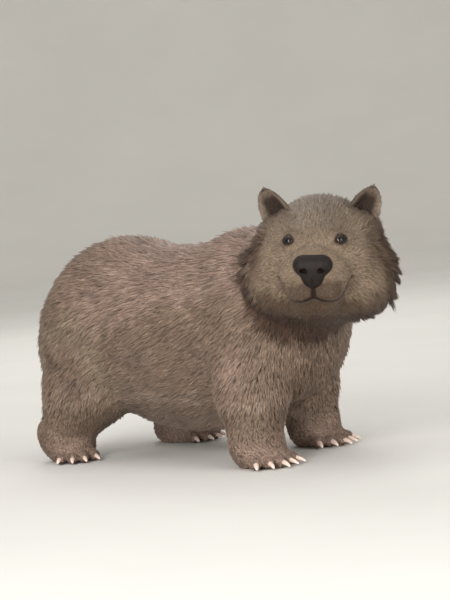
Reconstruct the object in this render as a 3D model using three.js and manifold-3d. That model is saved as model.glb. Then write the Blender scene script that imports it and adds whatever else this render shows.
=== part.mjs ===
// A common wombat, life size, standing on four feet with its head raised and turned to its right.
// Millimetres. +X runs from rump to chest, +Y is the animal's left, +Z is up and the floor is z = 0.
// The surface is that of the coat. One blended body is worked out and then parted by thin cuts.
import * as THREE from "three";
import { mergeVertices } from "three/addons/utils/BufferGeometryUtils.js";
import Module from "manifold-3d";

const wasm = await Module();
wasm.setup();

// Driving sizes
const gap = 0.3; // between pieces that touch
const backHeight = 382;
const trunkHalfWidth = 146;
const originShift = [-19, 7]; // puts the origin under the middle of the bounding box
const right = -1;
const left = 1;

// How the head is held
const head = {
  centre: [309, -52, 335],
  turn: -54, // degrees from +X, towards the animal's right
  nod: -9,
  tilt: -4,
};

// Where each foot stands, and which way it points, in degrees from +X
const feet = {
  front_right: { side: right, x: 198, y: -114, turn: -12 },
  front_left: { side: left, x: 130, y: 98, turn: -2 },
  hind_right: { side: right, x: -244, y: -124, turn: -36 },
  hind_left: { side: left, x: -190, y: 106, turn: 2 },
};

const eyeRadius = 10.2;
const lidThickness = 2.2;
const earHeight = 59;
const earHalfWidth = 30;

// Materials
const matt = (color, roughness) => new THREE.MeshStandardMaterial({ color, roughness, metalness: 0 });
const coatBody = matt(0x7b6859, 0.9);
const coatHead = matt(0x837260, 0.9);
const coatLeg = matt(0x78675a, 0.9);
const earCoat = matt(0x655044, 0.9);
const noseSkin = matt(0x332a22, 0.55);
const eyeGloss = matt(0x120c08, 0.08);
const clawHorn = matt(0xe8cdbd, 0.4);

const rad = THREE.MathUtils.degToRad;
const mix = THREE.MathUtils.lerp;

// Distance fields: each returns about the distance of (x, y, z) from a shape, less than zero inside

function ellipsoid([cx, cy, cz], [rx, ry, rz]) {
  return (x, y, z) => {
    const a = (x - cx) / rx;
    const b = (y - cy) / ry;
    const c = (z - cz) / rz;
    const reach = Math.hypot(a, b, c);
    const slope = Math.hypot(a / rx, b / ry, c / rz);
    return slope < 1e-9 ? -Math.min(rx, ry, rz) : (reach * (reach - 1)) / slope;
  };
}

// Two balls of radius ra and rb with the cone between them
function roundCone(a, b, ra, rb) {
  const axis = [b[0] - a[0], b[1] - a[1], b[2] - a[2]];
  const length = Math.hypot(...axis);
  const unit = axis.map((k) => k / length);
  const lean = (ra - rb) / length;
  const rise = Math.sqrt(1 - lean * lean);
  return (x, y, z) => {
    const px = x - a[0];
    const py = y - a[1];
    const pz = z - a[2];
    const along = px * unit[0] + py * unit[1] + pz * unit[2];
    const off = Math.sqrt(Math.max(0, px * px + py * py + pz * pz - along * along));
    const t = THREE.MathUtils.clamp(along + (off * lean) / rise, 0, length);
    return Math.hypot(along - t, off) - mix(ra, rb, t / length);
  };
}

// Union with a fillet about as wide as soft
function blend(soft, ...shapes) {
  return (x, y, z) => {
    let d = shapes[0](x, y, z);
    for (let i = 1; i < shapes.length; i++) {
      const e = shapes[i](x, y, z);
      const h = Math.max(soft - Math.abs(d - e), 0) / soft;
      d = Math.min(d, e) - h * h * h * soft * (1 / 6);
    }
    return d;
  };
}

// A shape drawn in a frame of its own, placed by a matrix with no scale
function placed(matrix, shape) {
  const m = matrix.clone().invert().elements;
  return (x, y, z) =>
    shape(
      m[0] * x + m[4] * y + m[8] * z + m[12],
      m[1] * x + m[5] * y + m[9] * z + m[13],
      m[2] * x + m[6] * y + m[10] * z + m[14],
    );
}

function frameAt([x, y, z], turn, nod = 0, tilt = 0) {
  const spin = new THREE.Matrix4()
    .makeRotationZ(rad(turn))
    .multiply(new THREE.Matrix4().makeRotationY(rad(-nod)))
    .multiply(new THREE.Matrix4().makeRotationX(rad(tilt)));
  return spin.setPosition(x, y, z);
}

const pair = (make) => [make(left), make(right)];

// The trunk, from rump to breast
function trunkField() {
  const rumpMiddle = 242;
  const withersMiddle = 256;
  const bellyDrop = 125;
  const barrel = ellipsoid([-20, 0, 228], [258, trunkHalfWidth, 128]);
  const belly = ellipsoid([-30, 0, 170], [232, 130, bellyDrop]);
  const rump = ellipsoid([-192, 0, rumpMiddle], [158, 138, backHeight - 6 - rumpMiddle]);
  const withers = ellipsoid([122, 0, withersMiddle], [136, 114, backHeight - 2 - withersMiddle]);
  const breast = ellipsoid([172, 0, 204], [92, 94, 106]);
  const haunches = pair((s) => ellipsoid([-220, s * 80, 188], [106, 74, 116]));
  // The left shoulder stands a little further back than the right, over its foot
  const shoulders = pair((s) => ellipsoid([154 - s * 8, s * 68, 216], [80, 62, 114]));
  return blend(56, barrel, belly, rump, withers, breast, ...haunches, ...shoulders);
}

// A foot in its own frame: x along the foot, z up, the sole at z = 0
function footField(front) {
  const palm = front
    ? ellipsoid([-5, 0, 22], [42, 40, 30])
    : ellipsoid([-17, 0, 20], [58, 37, 28]);
  const toes = toeTips(front).map((toe) => roundCone(toe.root, toe.tip, 13, 10.5));
  return blend(12, palm, blend(5, ...toes));
}

// Toes fan out from the ball of the foot: five on a fore foot, four with claws on a hind foot
function toeTips(front) {
  const count = front ? 5 : 4;
  const fan = front ? 60 : 44;
  return Array.from({ length: count }, (_, i) => {
    const share = i / (count - 1) - 0.5;
    const angle = rad(fan * share);
    const reach = (front ? 55 : 56) - 30 * Math.abs(share);
    const side = (front ? 66 : 54) * share;
    return {
      root: [10, side * 0.62, 17],
      tip: [reach * Math.cos(angle), side + 6 * Math.sin(angle), 10.5],
      angle,
    };
  });
}

const footFrame = (foot) => frameAt([foot.x, foot.y, 0], foot.turn);

function legField(name) {
  const foot = feet[name];
  const s = foot.side;
  const front = name.startsWith("front");
  const bones = front
    ? [
        roundCone([157 - s * 9, s * 72, 220], [foot.x - 22, s * 100, 124], 66, 58),
        roundCone([foot.x - 22, s * 100, 124], [foot.x - 9, foot.y, 46], 58, 46),
      ]
    : [
        roundCone([-214, s * 76, 200], [foot.x + 16, s * 102, 122], 92, 70),
        roundCone([foot.x + 16, s * 102, 122], [foot.x - 18, foot.y, 46], 67, 49),
      ];
  return blend(26, blend(34, ...bones), placed(footFrame(foot), footField(front)));
}

// The head in its own frame: x to the nose, y to its left, z up
function headField() {
  const cranium = ellipsoid([-16, 0, 8], [90, 93, 65]);
  const brow = ellipsoid([34, 0, 18], [66, 62, 48]);
  const bridge = roundCone([20, 0, 26], [94, 0, 3], 46, 32);
  const muzzle = roundCone([88, 18, -14], [88, -18, -14], 38, 38);
  const jaw = roundCone([78, 14, -54], [78, -14, -54], 26, 26);
  const throat = ellipsoid([-14, 0, -56], [86, 89, 57]);
  const sides = pair((s) => [
    ellipsoid([0, s * 61, -35], [74, 55, 63]),
    ellipsoid([30, s * 48, 0], [54, 40, 44]),
    ellipsoid([-14, s * 46, 20], [60, 38, 42]),
  ]).flat();
  const lips = pair((s) => ellipsoid([101, s * 20, -36], [27, 28, 21]));
  return blend(10, blend(26, cranium, brow, bridge, muzzle, jaw, throat, ...sides), ...lips);
}

const headFrame = frameAt(head.centre, head.turn, head.nod, head.tilt);

const headPoint = (x, y, z) => new THREE.Vector3(x, y, z).applyMatrix4(headFrame).toArray();

function neckField() {
  return blend(
    50,
    roundCone([158, 0, 262], headPoint(-40, 0, 0), 105, 80),
    roundCone([166, 0, 216], headPoint(-30, 0, -44), 86, 62),
  );
}

const tail = { root: [-336, 0, 246], tip: [-370, 0, 218], rootRadius: 18, tipRadius: 9 };

const bodyField = blend(
  42,
  trunkField(),
  neckField(),
  ...Object.keys(feet).map(legField),
  placed(headFrame, headField()),
);
const wombatField = blend(10, bodyField, roundCone(tail.root, tail.tip, tail.rootRadius, tail.tipRadius));

// Grid lines from one end on through spans of [cell, end]
function gridLines(from, ...spans) {
  const lines = [from];
  for (const [cell, to] of spans) {
    const last = lines[lines.length - 1];
    const count = Math.max(1, Math.round((to - last) / cell));
    for (let i = 1; i <= count; i++) lines.push(mix(last, to, i / count));
  }
  return lines;
}

const borderDistance = 2;

// Two parts of a shape may not meet along a single edge or at a single point of the grid, so one corner
// between them is taken into the shape
function fillPinches(value, [nx, ny, nz], at) {
  const inside = (n) => value[n] < 0;
  const fill = (...open) => {
    const loose = open.filter((n) => value[n] !== borderDistance).sort((a, b) => value[a] - value[b]);
    if (loose.length > 0) value[loose[0]] = -0.05;
    return loose.length > 0;
  };
  const faces = [
    [[1, 0, 0], [0, 1, 0]],
    [[0, 1, 0], [0, 0, 1]],
    [[0, 0, 1], [1, 0, 0]],
  ];
  let changed = true;
  while (changed) {
    changed = false;
    for (let i = 1; i < nx - 1; i++)
      for (let j = 1; j < ny - 1; j++)
        for (let k = 1; k < nz - 1; k++) {
          for (const [u, v] of faces) {
            const a = at(i, j, k);
            const b = at(i + u[0], j + u[1], k + u[2]);
            const c = at(i + v[0], j + v[1], k + v[2]);
            const d = at(i + u[0] + v[0], j + u[1] + v[1], k + u[2] + v[2]);
            const crossed = inside(a) === inside(d) && inside(b) === inside(c) && inside(a) !== inside(b);
            if (crossed && (inside(a) ? fill(b, c) : fill(a, d))) changed = true;
          }
        }
  }
}

// Surface nets: one vertex in each crossed cell of a grid, pulled on to the surface, or past it by grow.
// The grid's lines run along the axes of the frame.
function surfaceOf(field, lines, frame = new THREE.Matrix4(), grow = 0) {
  const [nx, ny, nz] = lines.map((line) => line.length - 1);
  const spotAt = (x, y, z) => new THREE.Vector3(x, y, z).applyMatrix4(frame).toArray();
  const at = (i, j, k) => (i * (ny + 1) + j) * (nz + 1) + k;
  const value = new Float64Array((nx + 1) * (ny + 1) * (nz + 1));
  for (let i = 0; i <= nx; i++)
    for (let j = 0; j <= ny; j++)
      for (let k = 0; k <= nz; k++) {
        const border = i === 0 || j === 0 || k === 0 || i === nx || j === ny || k === nz;
        const d = field(...spotAt(lines[0][i], lines[1][j], lines[2][k]));
        value[at(i, j, k)] = border ? Math.max(d, borderDistance) : d;
      }
  fillPinches(value, [nx, ny, nz], at);

  const vertexOf = new Map();
  const points = [];
  const corners = [];
  for (let c = 0; c < 8; c++) corners.push([c & 1, (c >> 1) & 1, (c >> 2) & 1]);
  for (let i = 0; i < nx; i++)
    for (let j = 0; j < ny; j++)
      for (let k = 0; k < nz; k++) {
        const d = corners.map(([a, b, c]) => value[at(i + a, j + b, k + c)]);
        const inside = d.filter((v) => v < 0).length;
        if (inside === 0 || inside === 8) continue;
        const sum = [0, 0, 0];
        let crossings = 0;
        for (let a = 0; a < 8; a++)
          for (const bit of [1, 2, 4]) {
            const b = a | bit;
            if (b === a || d[a] < 0 === d[b] < 0) continue;
            const t = d[a] / (d[a] - d[b]);
            for (let n = 0; n < 3; n++) sum[n] += mix(corners[a][n], corners[b][n], t);
            crossings++;
          }
        const cell = [i, j, k].map((v, n) => lines[n][v + 1] - lines[n][v]);
        const spot = spotAt(...[i, j, k].map((v, n) => lines[n][v] + (sum[n] / crossings) * cell[n]));
        const edge = i === 0 || j === 0 || k === 0 || i === nx - 1 || j === ny - 1 || k === nz - 1;
        vertexOf.set(at(i, j, k), points.length / 3);
        points.push(...(edge ? spot : pulledOn(field, spot, Math.min(...cell) * 0.45, grow)));
      }

  const triangles = [];
  const quad = (a, b, c, d, turned) => {
    const p = [a, b, c, d].map((v) => vertexOf.get(v));
    const span = (m, n) =>
      Math.hypot(...[0, 1, 2].map((o) => points[3 * p[m] + o] - points[3 * p[n] + o]));
    const split = span(0, 2) < span(1, 3) ? [0, 1, 2, 0, 2, 3] : [1, 2, 3, 1, 3, 0];
    if (turned) split.reverse();
    triangles.push(...split.map((n) => p[n]));
  };
  for (let i = 0; i < nx; i++)
    for (let j = 0; j < ny; j++)
      for (let k = 0; k < nz; k++) {
        const here = value[at(i, j, k)] < 0;
        if (j && k && here !== value[at(i + 1, j, k)] < 0)
          quad(at(i, j - 1, k - 1), at(i, j, k - 1), at(i, j, k), at(i, j - 1, k), !here);
        if (i && k && here !== value[at(i, j + 1, k)] < 0)
          quad(at(i - 1, j, k - 1), at(i - 1, j, k), at(i, j, k), at(i, j, k - 1), !here);
        if (i && j && here !== value[at(i, j, k + 1)] < 0)
          quad(at(i - 1, j - 1, k), at(i, j - 1, k), at(i, j, k), at(i - 1, j, k), !here);
      }
  return solidFrom(points, triangles);
}

// The way out of a field's shape at a point, one unit long
function outward(field, p) {
  const step = 0.5;
  const slope = [0, 1, 2].map((n) => {
    const ahead = p.map((v, m) => v + (m === n ? step : 0));
    const behind = p.map((v, m) => v - (m === n ? step : 0));
    return (field(...ahead) - field(...behind)) / (2 * step);
  });
  const steep = Math.hypot(...slope) || 1;
  return { way: slope.map((v) => v / steep), steep };
}

// Moves a point along the field's slope until it lies on the surface, or past it by grow
function pulledOn(field, start, limit = 50, grow = 0) {
  let p = [...start];
  for (let round = 0; round < 3; round++) {
    const { way, steep } = outward(field, p);
    const move = THREE.MathUtils.clamp(field(...p) / steep, -limit, limit);
    p = p.map((v, n) => v - way[n] * move);
  }
  if (grow === 0) return p;
  const { way } = outward(field, p);
  return p.map((v, n) => v + way[n] * grow);
}

// Solids for cutting and joining

function solidFrom(points, triangles) {
  return new wasm.Manifold(
    new wasm.Mesh({
      numProp: 3,
      vertProperties: Float32Array.from(points),
      triVerts: Uint32Array.from(triangles),
    }),
  );
}

function solidOf(geometry, matrix = new THREE.Matrix4()) {
  const plain = new THREE.BufferGeometry();
  plain.setAttribute("position", geometry.getAttribute("position").clone());
  if (geometry.index) plain.setIndex(geometry.index.clone());
  const merged = mergeVertices(plain.applyMatrix4(matrix), 1e-3);
  const index = Array.from(merged.index.array);
  const kept = [];
  for (let i = 0; i < index.length; i += 3) {
    const [a, b, c] = index.slice(i, i + 3);
    if (a !== b && b !== c && c !== a) kept.push(a, b, c);
  }
  return solidFrom(merged.attributes.position.array, kept);
}

const largest = (solid) => solid.decompose().sort((a, b) => b.volume() - a.volume())[0];

function boxFrom(low, high, matrix) {
  const size = high.map((k, i) => k - low[i]);
  const geometry = new THREE.BoxGeometry(...size);
  geometry.translate(...low.map((k, i) => k + size[i] / 2));
  return solidOf(geometry, matrix);
}

const floorBelow = boxFrom([-900, -900, -300], [900, 900, 0]);

// A closed tube of rings, each a list of points, with flat ends
function loft(rings) {
  const sides = rings[0].length;
  const points = rings.flat(2);
  const triangles = [];
  for (let i = 0; i + 1 < rings.length; i++)
    for (let j = 0; j < sides; j++) {
      const next = (j + 1) % sides;
      const [a, b] = [i * sides + j, i * sides + next];
      const [c, d] = [a + sides, b + sides];
      triangles.push(a, b, d, a, d, c);
    }
  const last = (rings.length - 1) * sides;
  for (let j = 1; j + 1 < sides; j++) {
    triangles.push(0, j + 1, j);
    triangles.push(last, last + j, last + j + 1);
  }
  return solidFrom(points, triangles);
}

// Cutters that part the body: each is the space that one node may fill

const ringOf = (sides, spot) =>
  Array.from({ length: sides }, (_, n) => spot((2 * Math.PI * n) / sides));

// The root of a leg is a dome, and below the belly the space widens to hold the foot
function legSpace(name, grow = 0) {
  const foot = feet[name];
  const front = name.startsWith("front");
  const middle = front
    ? [mix(172, foot.x - 12, 0.6), foot.side * 106]
    : [mix(-212, foot.x, 0.6), foot.side * 106];
  const reach = front ? [92, 86] : [106, 88];
  const underTop = 40; // lower than the belly
  const domeBase = 116;
  const domeRise = front ? 86 : 92;
  const rows = 5;
  const ringAt = (share, z) =>
    ringOf(20, (a) => [
      middle[0] + (reach[0] * share + grow) * Math.cos(a),
      middle[1] + (reach[1] * share + grow) * Math.sin(a),
      z,
    ]);
  const rings = [ringAt(1, underTop - 8)];
  for (let i = 0; i <= rows; i++) {
    const a = ((Math.PI / 2) * i * 0.94) / rows;
    rings.push(ringAt(Math.cos(a), domeBase + (domeRise + grow) * Math.sin(a)));
  }
  const under = boxFrom([foot.x - 140, -250, -60], [foot.x + 140, 250, underTop + grow]);
  const halfOnly = boxFrom(
    [-600, foot.side > 0 ? 8 - grow : -400, -80],
    [600, foot.side > 0 ? 400 : -8 + grow, 500],
  );
  return loft(rings).add(under).intersect(halfOnly);
}

// The head ends behind the ears and the jowls in a shallow bowl
function headSpace(grow = 0) {
  const profile = [
    [-70, 44],
    [-65, 82],
    [-52, 104],
    [-28, 120],
    [10, 130],
    [200, 136],
  ];
  const rings = profile.map(([x, r]) =>
    ringOf(24, (a) => headPoint(x - grow, (r * 1.06 + grow) * Math.cos(a), (r + grow) * Math.sin(a))),
  );
  return loft(rings);
}

const neckBase = frameAt([226, 0, 300], -8, 22);
const neckSpace = (grow = 0) => boxFrom([-grow, -220, -260], [400, 220, 260], neckBase);

// The tail is a short stub, cut off in a small ring
const tailFrame = frameAt(tail.root, 180, -40);
function tailSpace(grow = 0) {
  const rings = [
    [8, 27],
    [80, 40],
  ].map(([x, r]) =>
    ringOf(14, (a) =>
      new THREE.Vector3(x - grow, (r + grow) * Math.cos(a), (r + grow) * Math.sin(a))
        .applyMatrix4(tailFrame)
        .toArray(),
    ),
  );
  return loft(rings);
}

// Parts

const group = new THREE.Group();
group.position.set(originShift[0], originShift[1], 0);

function addPart(name, solid, material) {
  const mesh = largest(solid).getMesh();
  const geometry = new THREE.BufferGeometry();
  geometry.setAttribute("position", new THREE.BufferAttribute(mesh.vertProperties, 3));
  geometry.setIndex(new THREE.BufferAttribute(mesh.triVerts, 1));
  geometry.computeVertexNormals();
  const part = new THREE.Mesh(geometry, material.clone());
  part.name = name;
  group.add(part);
}

const cutAll = (solid, cutters) => cutters.reduce((rest, cutter) => rest.subtract(cutter), solid);

// Claws: horn with a flattened section that curves down and tapers
function claw(frame, toe, front, grow = 0) {
  const length = front ? 42 : 38;
  const halfWidth = (front ? 5.2 : 4.9) + grow;
  const halfHeight = (front ? 4.4 : 4.1) + grow;
  const rootDepth = 13;
  const droop = 6.4;
  const steps = 4;
  const place = frame.clone().multiply(frameAt(toe.tip, THREE.MathUtils.radToDeg(toe.angle), -4));
  const rings = [];
  for (let i = 0; i <= steps; i++) {
    const t = i / steps;
    const thin = Math.sqrt(Math.max(0.03, 1 - t ** 1.7));
    const along = length * Math.sin(1.1 * t) - rootDepth - (i === 0 ? grow : 0);
    const rise = 1.5 - droop * t * t;
    rings.push(
      ringOf(6, (a) =>
        new THREE.Vector3(along, halfWidth * thin * Math.cos(a), rise + halfHeight * thin * Math.sin(a))
          .applyMatrix4(place)
          .toArray(),
      ),
    );
  }
  return loft(rings);
}

function addLeg(name) {
  const foot = feet[name];
  const front = name.startsWith("front");
  const space = legSpace(name);
  const { min, max } = space.boundingBox();
  const inner = foot.side > 0 ? [-8, foot.y + 105] : [foot.y - 105, 8];
  const lines = [
    gridLines(Math.min(min[0] - 16, foot.x - 100), [16, Math.max(max[0] + 16, foot.x + 100)]),
    gridLines(inner[0], [16, inner[1]]),
    gridLines(-24, [10, 16], [14, 58], [28, max[2] + 28]),
  ];
  const frame = footFrame(foot);
  let leg = surfaceOf(wombatField, lines).intersect(space).subtract(floorBelow);
  toeTips(front).forEach((toe, i) => {
    leg = leg.subtract(claw(frame, toe, front, gap));
    addPart("claw_" + name + "_" + (i + 1), claw(frame, toe, front).subtract(floorBelow), clawHorn);
  });
  addPart("leg_" + name, leg, coatLeg);
}

// A ball with its poles on the x axis of the matrix
function ball(radius, matrix) {
  const around = 14;
  const bands = 9;
  return solidOf(new THREE.SphereGeometry(radius, around, bands).rotateZ(-Math.PI / 2), matrix);
}

// The eye looks out along x of its own frame, set in the head a little deeper than its surface
const headShape = placed(headFrame, headField());
function eyeFrame(side) {
  const spot = pulledOn(headShape, headPoint(64, side * 27, 28));
  const { way } = outward(headShape, spot);
  const depth = 5.6;
  const middle = spot.map((v, n) => v - way[n] * depth);
  const turn = THREE.MathUtils.radToDeg(Math.atan2(way[1], way[0]));
  const nod = THREE.MathUtils.radToDeg(Math.asin(way[2]));
  return frameAt(middle, turn, nod * 0.6);
}

// The opening between the lids: an almond that widens outwards
function lidOpening(frame, side) {
  const steps = 9;
  const halfLength = 10.4;
  const rings = [2, 24].map((x) => {
    const upper = [];
    const lower = [];
    for (let i = 0; i <= steps; i++) {
      const t = i / steps;
      const y = mix(-halfLength, halfLength, t) * (1 + x / 90);
      const slant = (y * side) / 9;
      const bow = Math.sin(Math.PI * t) ** 0.8;
      upper.push([x, y, 8.2 * bow * (1 + x / 60) - slant]);
      lower.push([x, y, -6.6 * bow * (1 + x / 60) - slant]);
    }
    const around = [...lower, ...upper.slice(1, -1).reverse()];
    return around.map((p) => new THREE.Vector3(...p).applyMatrix4(frame).toArray());
  });
  return loft(rings);
}

const earFrame = (side) =>
  headFrame
    .clone()
    .multiply(frameAt([-22, side * 64, 50], side * 20))
    .multiply(frameAt([0, 0, 0], 0, -10, -side * 24));

// An ear is a leaf that bends into a cup, open forwards and outwards
function ear(side) {
  const rows = 9;
  const columns = 8;
  const sunk = 16;
  const place = earFrame(side);
  const sheet = (v, u, face) => {
    const up = mix(-sunk, earHeight, v);
    const share = THREE.MathUtils.clamp(up / earHeight, 0, 1);
    const narrowing = Math.sqrt(1 - share ** 2.6) * mix(1, 0.72, share);
    const halfWidth = Math.max(earHalfWidth * narrowing, 4);
    const cup = mix(18, 6, share) * (1 - u * u);
    const thickness = mix(7, 3, Math.max(Math.abs(u) ** 3, share));
    return new THREE.Vector3(-cup + (face * thickness) / 2, halfWidth * u, up).applyMatrix4(place).toArray();
  };
  const rings = [];
  for (let i = 0; i <= rows; i++) {
    const across = Array.from({ length: columns + 1 }, (_, n) => (2 * n) / columns - 1);
    const front = across.map((u) => sheet(i / rows, u, 1));
    const back = across.map((u) => sheet(i / rows, u, -1));
    rings.push([...front, ...back.reverse()]);
  }
  return stripLoft(rings);
}

// Like loft, for thin flat rings: each end is closed straight across its two long sides
function stripLoft(rings) {
  const sides = rings[0].length;
  const triangles = [];
  for (let i = 0; i + 1 < rings.length; i++)
    for (let j = 0; j < sides; j++) {
      const next = (j + 1) % sides;
      const [a, b] = [i * sides + j, i * sides + next];
      triangles.push(a, b, b + sides, a, b + sides, a + sides);
    }
  const last = (rings.length - 1) * sides;
  for (let j = 0; j + 1 < sides / 2; j++) {
    const [a, b, c, d] = [j, j + 1, sides - 2 - j, sides - 1 - j];
    triangles.push(a, c, b, a, d, c);
    triangles.push(last + a, last + b, last + c, last + a, last + c, last + d);
  }
  return solidFrom(rings.flat(2), triangles);
}

// The space above the skull that an ear fills
function earSpace(side, grow = 0) {
  const place = earFrame(side);
  return boxFrom([-28 - grow, -34 - grow, 12 - grow], [14 + grow, 34 + grow, 100], place);
}

// The nose pad: broad above, narrower below, with a comma of a nostril on each side
const noseShape = placed(
  headFrame,
  blend(10, roundCone([119, -15, 8], [119, 15, 8], 16, 16), ellipsoid([117, 0, -7], [18.5, 21, 22])),
);
const noseLines = [gridLines(86, [8.5, 148]), gridLines(-42, [8.4, 42]), gridLines(-42, [8.4, 42])];
const nostril = (side) =>
  tube(
    [
      [138, side * 10, -1, 2.8],
      [134, side * 12.5, 1, 4.6],
      [128, side * 17, 3, 4.4],
      [124, side * 24, 5.5, 3.2],
      [122, side * 32, 8, 2.4],
    ].map(([x, y, z, r]) => ({ spot: headPoint(x, y, z), radius: r })),
    6,
  );

// A tube along a few spots, each with its radius
function tube(path, sides) {
  const spots = path.map((p) => new THREE.Vector3(...p.spot));
  const rings = path.map((p, i) => {
    const way = spots[Math.min(i + 1, spots.length - 1)].clone().sub(spots[Math.max(i - 1, 0)]).normalize();
    const across = new THREE.Vector3(0, 0, 1).cross(way);
    if (across.length() < 0.1) across.set(0, 1, 0);
    across.normalize();
    const rise = way.clone().cross(across);
    return ringOf(sides, (a) =>
      spots[i]
        .clone()
        .addScaledVector(across, p.radius * Math.cos(a))
        .addScaledVector(rise, p.radius * Math.sin(a))
        .toArray(),
    );
  });
  return loft(rings);
}

// The line of the mouth, and the groove from it up to the nose
function mouthLine() {
  const groove = 2.1;
  const onFace = (x, y, z) => ({ spot: pulledOn(headShape, headPoint(x, y, z)), radius: groove });
  const halves = pair((s) => {
    const path = [];
    for (let i = 0; i <= 8; i++) {
      const t = i / 8;
      const angle = rad(mix(0, 86, t));
      const drop = -55 + 3 * Math.sin(3 * t) + 9 * t ** 3;
      path.push(onFace(74 + 50 * Math.cos(angle), s * 52 * Math.sin(angle), drop));
    }
    path[8].radius = 1;
    return tube(path, 5);
  });
  const split = tube([onFace(130, 0, -14), onFace(128, 0, -34), onFace(124, 0, -55)], 5);
  return [...halves, split];
}

// Numbers between 0 and 1 that look random and come out the same each time
function seeded(seed) {
  let state = seed;
  return () => {
    state = (state * 1664525 + 1013904223) % 4294967296;
    return state / 4294967296;
  };
}

// A lock of long coat: flat, tapered and bent along its lie, with its root sunk below the surface
function lock({ spot, out, lie, length, halfWidth, stand }) {
  const steps = 4;
  const sunk = 7;
  const across = lie.clone().cross(out).normalize();
  const rings = [];
  for (let i = 0; i <= steps; i++) {
    const t = i / steps;
    const taper = Math.sqrt(1 - 0.985 * t ** 1.7);
    const halfThickness = mix(4, 0.6, t);
    const spine = spot
      .clone()
      .addScaledVector(lie, length * (t - 0.12))
      .addScaledVector(out, mix(-sunk, stand, 1 - (1 - t) ** 1.8));
    const ringAxis = out.clone().addScaledVector(lie, mix(-0.5, 0.1, t)).normalize();
    rings.push(
      ringOf(4, (a) =>
        spine
          .clone()
          .addScaledVector(across, halfWidth * taper * Math.cos(a))
          .addScaledVector(ringAxis, -halfThickness * Math.sin(a))
          .toArray(),
      ),
    );
  }
  return loft(rings);
}

// Rows of cheek locks run from below each ear down to the jaw, and each row overlaps the one behind it
function ruff(side) {
  const draw = seeded(side > 0 ? 11 : 29);
  const headOut = headFrame.clone().setPosition(0, 0, 0);
  const locks = [];
  const rows = [
    { x: 20, count: 6, from: 20, to: -54, length: 44 },
    { x: -2, count: 7, from: 38, to: -60, length: 46 },
    { x: -26, count: 6, from: 42, to: -52, length: 44 },
  ];
  for (const row of rows)
    for (let i = 0; i < row.count; i++) {
      const angle = rad(mix(row.from, row.to, (i + 0.3 * draw()) / (row.count - 1)));
      const start = headPoint(row.x + 5 * draw(), side * 96 * Math.cos(angle), -8 + 88 * Math.sin(angle));
      const spot = pulledOn(wombatField, start);
      const out = new THREE.Vector3(...outward(wombatField, spot).way);
      const lie = new THREE.Vector3(-0.34, side * (0.3 + 0.3 * draw()), -0.9).applyMatrix4(headOut);
      lie.addScaledVector(out, -lie.dot(out)).normalize();
      locks.push(
        lock({
          spot: new THREE.Vector3(...spot),
          out,
          lie,
          length: row.length * mix(0.82, 1.12, draw()),
          halfWidth: mix(7.6, 9.8, draw()),
          stand: mix(5, 9.5, draw()),
        }),
      );
    }
  return locks;
}

Object.keys(feet).forEach(addLeg);

const spaces = Object.keys(feet).map((name) => legSpace(name, gap));
const torsoLines = [gridLines(-376, [40, 400]), gridLines(-184, [38, 184]), gridLines(66, [38, 440])];
addPart(
  "torso",
  cutAll(surfaceOf(wombatField, torsoLines), [...spaces, neckSpace(gap), headSpace(gap), tailSpace(gap)]),
  coatBody,
);

const neckLines = [gridLines(130, [22, 440]), gridLines(-200, [22, 160]), gridLines(90, [22, 440])];
addPart(
  "neck",
  cutAll(surfaceOf(wombatField, neckLines).intersect(neckSpace()), [...spaces, headSpace(gap)]),
  coatBody,
);

const tailLines = [gridLines(-400, [12, -290]), gridLines(-54, [12, 54]), gridLines(180, [12, 310])];
addPart("tail", surfaceOf(wombatField, tailLines).intersect(tailSpace()), coatBody);

// The head: the skull's form with the lids and ears joined on, and then the hollows cut
const headLines = [
  gridLines(-134, [21, 48], [12, 146]),
  gridLines(-156, [24, -54], [12.5, 54], [24, 156]),
  gridLines(-134, [21, -84], [12.5, 36], [21, 120]),
];
let skull = surfaceOf(wombatField, headLines, headFrame).intersect(headSpace());
pair((side) => {
  const frame = eyeFrame(side);
  skull = skull.add(ball(eyeRadius + lidThickness, frame)).subtract(ball(eyeRadius + gap, frame));
  skull = skull.subtract(lidOpening(frame, side));
});
const reachOfHead = headSpace();
for (const one of pair(ruff).flat()) skull = skull.add(one.intersect(reachOfHead));
skull = cutAll(skull, mouthLine());
skull = skull.subtract(surfaceOf(noseShape, noseLines, headFrame, gap));
pair((side) => {
  skull = skull.add(ear(side));
});
pair((side) => {
  const name = side === left ? "left" : "right";
  addPart("ear_" + name, skull.intersect(earSpace(side)), earCoat);
  addPart("eye_" + name, ball(eyeRadius, eyeFrame(side)), eyeGloss);
});
addPart("head", cutAll(skull, pair((side) => earSpace(side, gap))), coatHead);
addPart("nose", cutAll(surfaceOf(noseShape, noseLines, headFrame), pair(nostril)), noseSkin);

export default group;
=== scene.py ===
import math

import bmesh
import bpy
import numpy as np
from mathutils import Matrix, Quaternion, Vector
from mathutils.kdtree import KDTree


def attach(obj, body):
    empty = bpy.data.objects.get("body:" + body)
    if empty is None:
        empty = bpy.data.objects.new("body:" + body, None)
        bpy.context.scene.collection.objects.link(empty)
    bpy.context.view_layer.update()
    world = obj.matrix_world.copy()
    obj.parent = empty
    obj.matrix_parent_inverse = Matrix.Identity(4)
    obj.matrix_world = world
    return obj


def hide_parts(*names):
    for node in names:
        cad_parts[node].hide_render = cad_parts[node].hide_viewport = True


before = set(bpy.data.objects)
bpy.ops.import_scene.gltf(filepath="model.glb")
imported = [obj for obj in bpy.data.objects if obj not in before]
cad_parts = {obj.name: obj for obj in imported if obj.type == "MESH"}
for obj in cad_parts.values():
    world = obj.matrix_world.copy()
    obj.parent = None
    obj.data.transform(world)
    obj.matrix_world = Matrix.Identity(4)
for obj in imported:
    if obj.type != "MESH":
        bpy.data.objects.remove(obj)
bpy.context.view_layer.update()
print("frame loaded")

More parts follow.
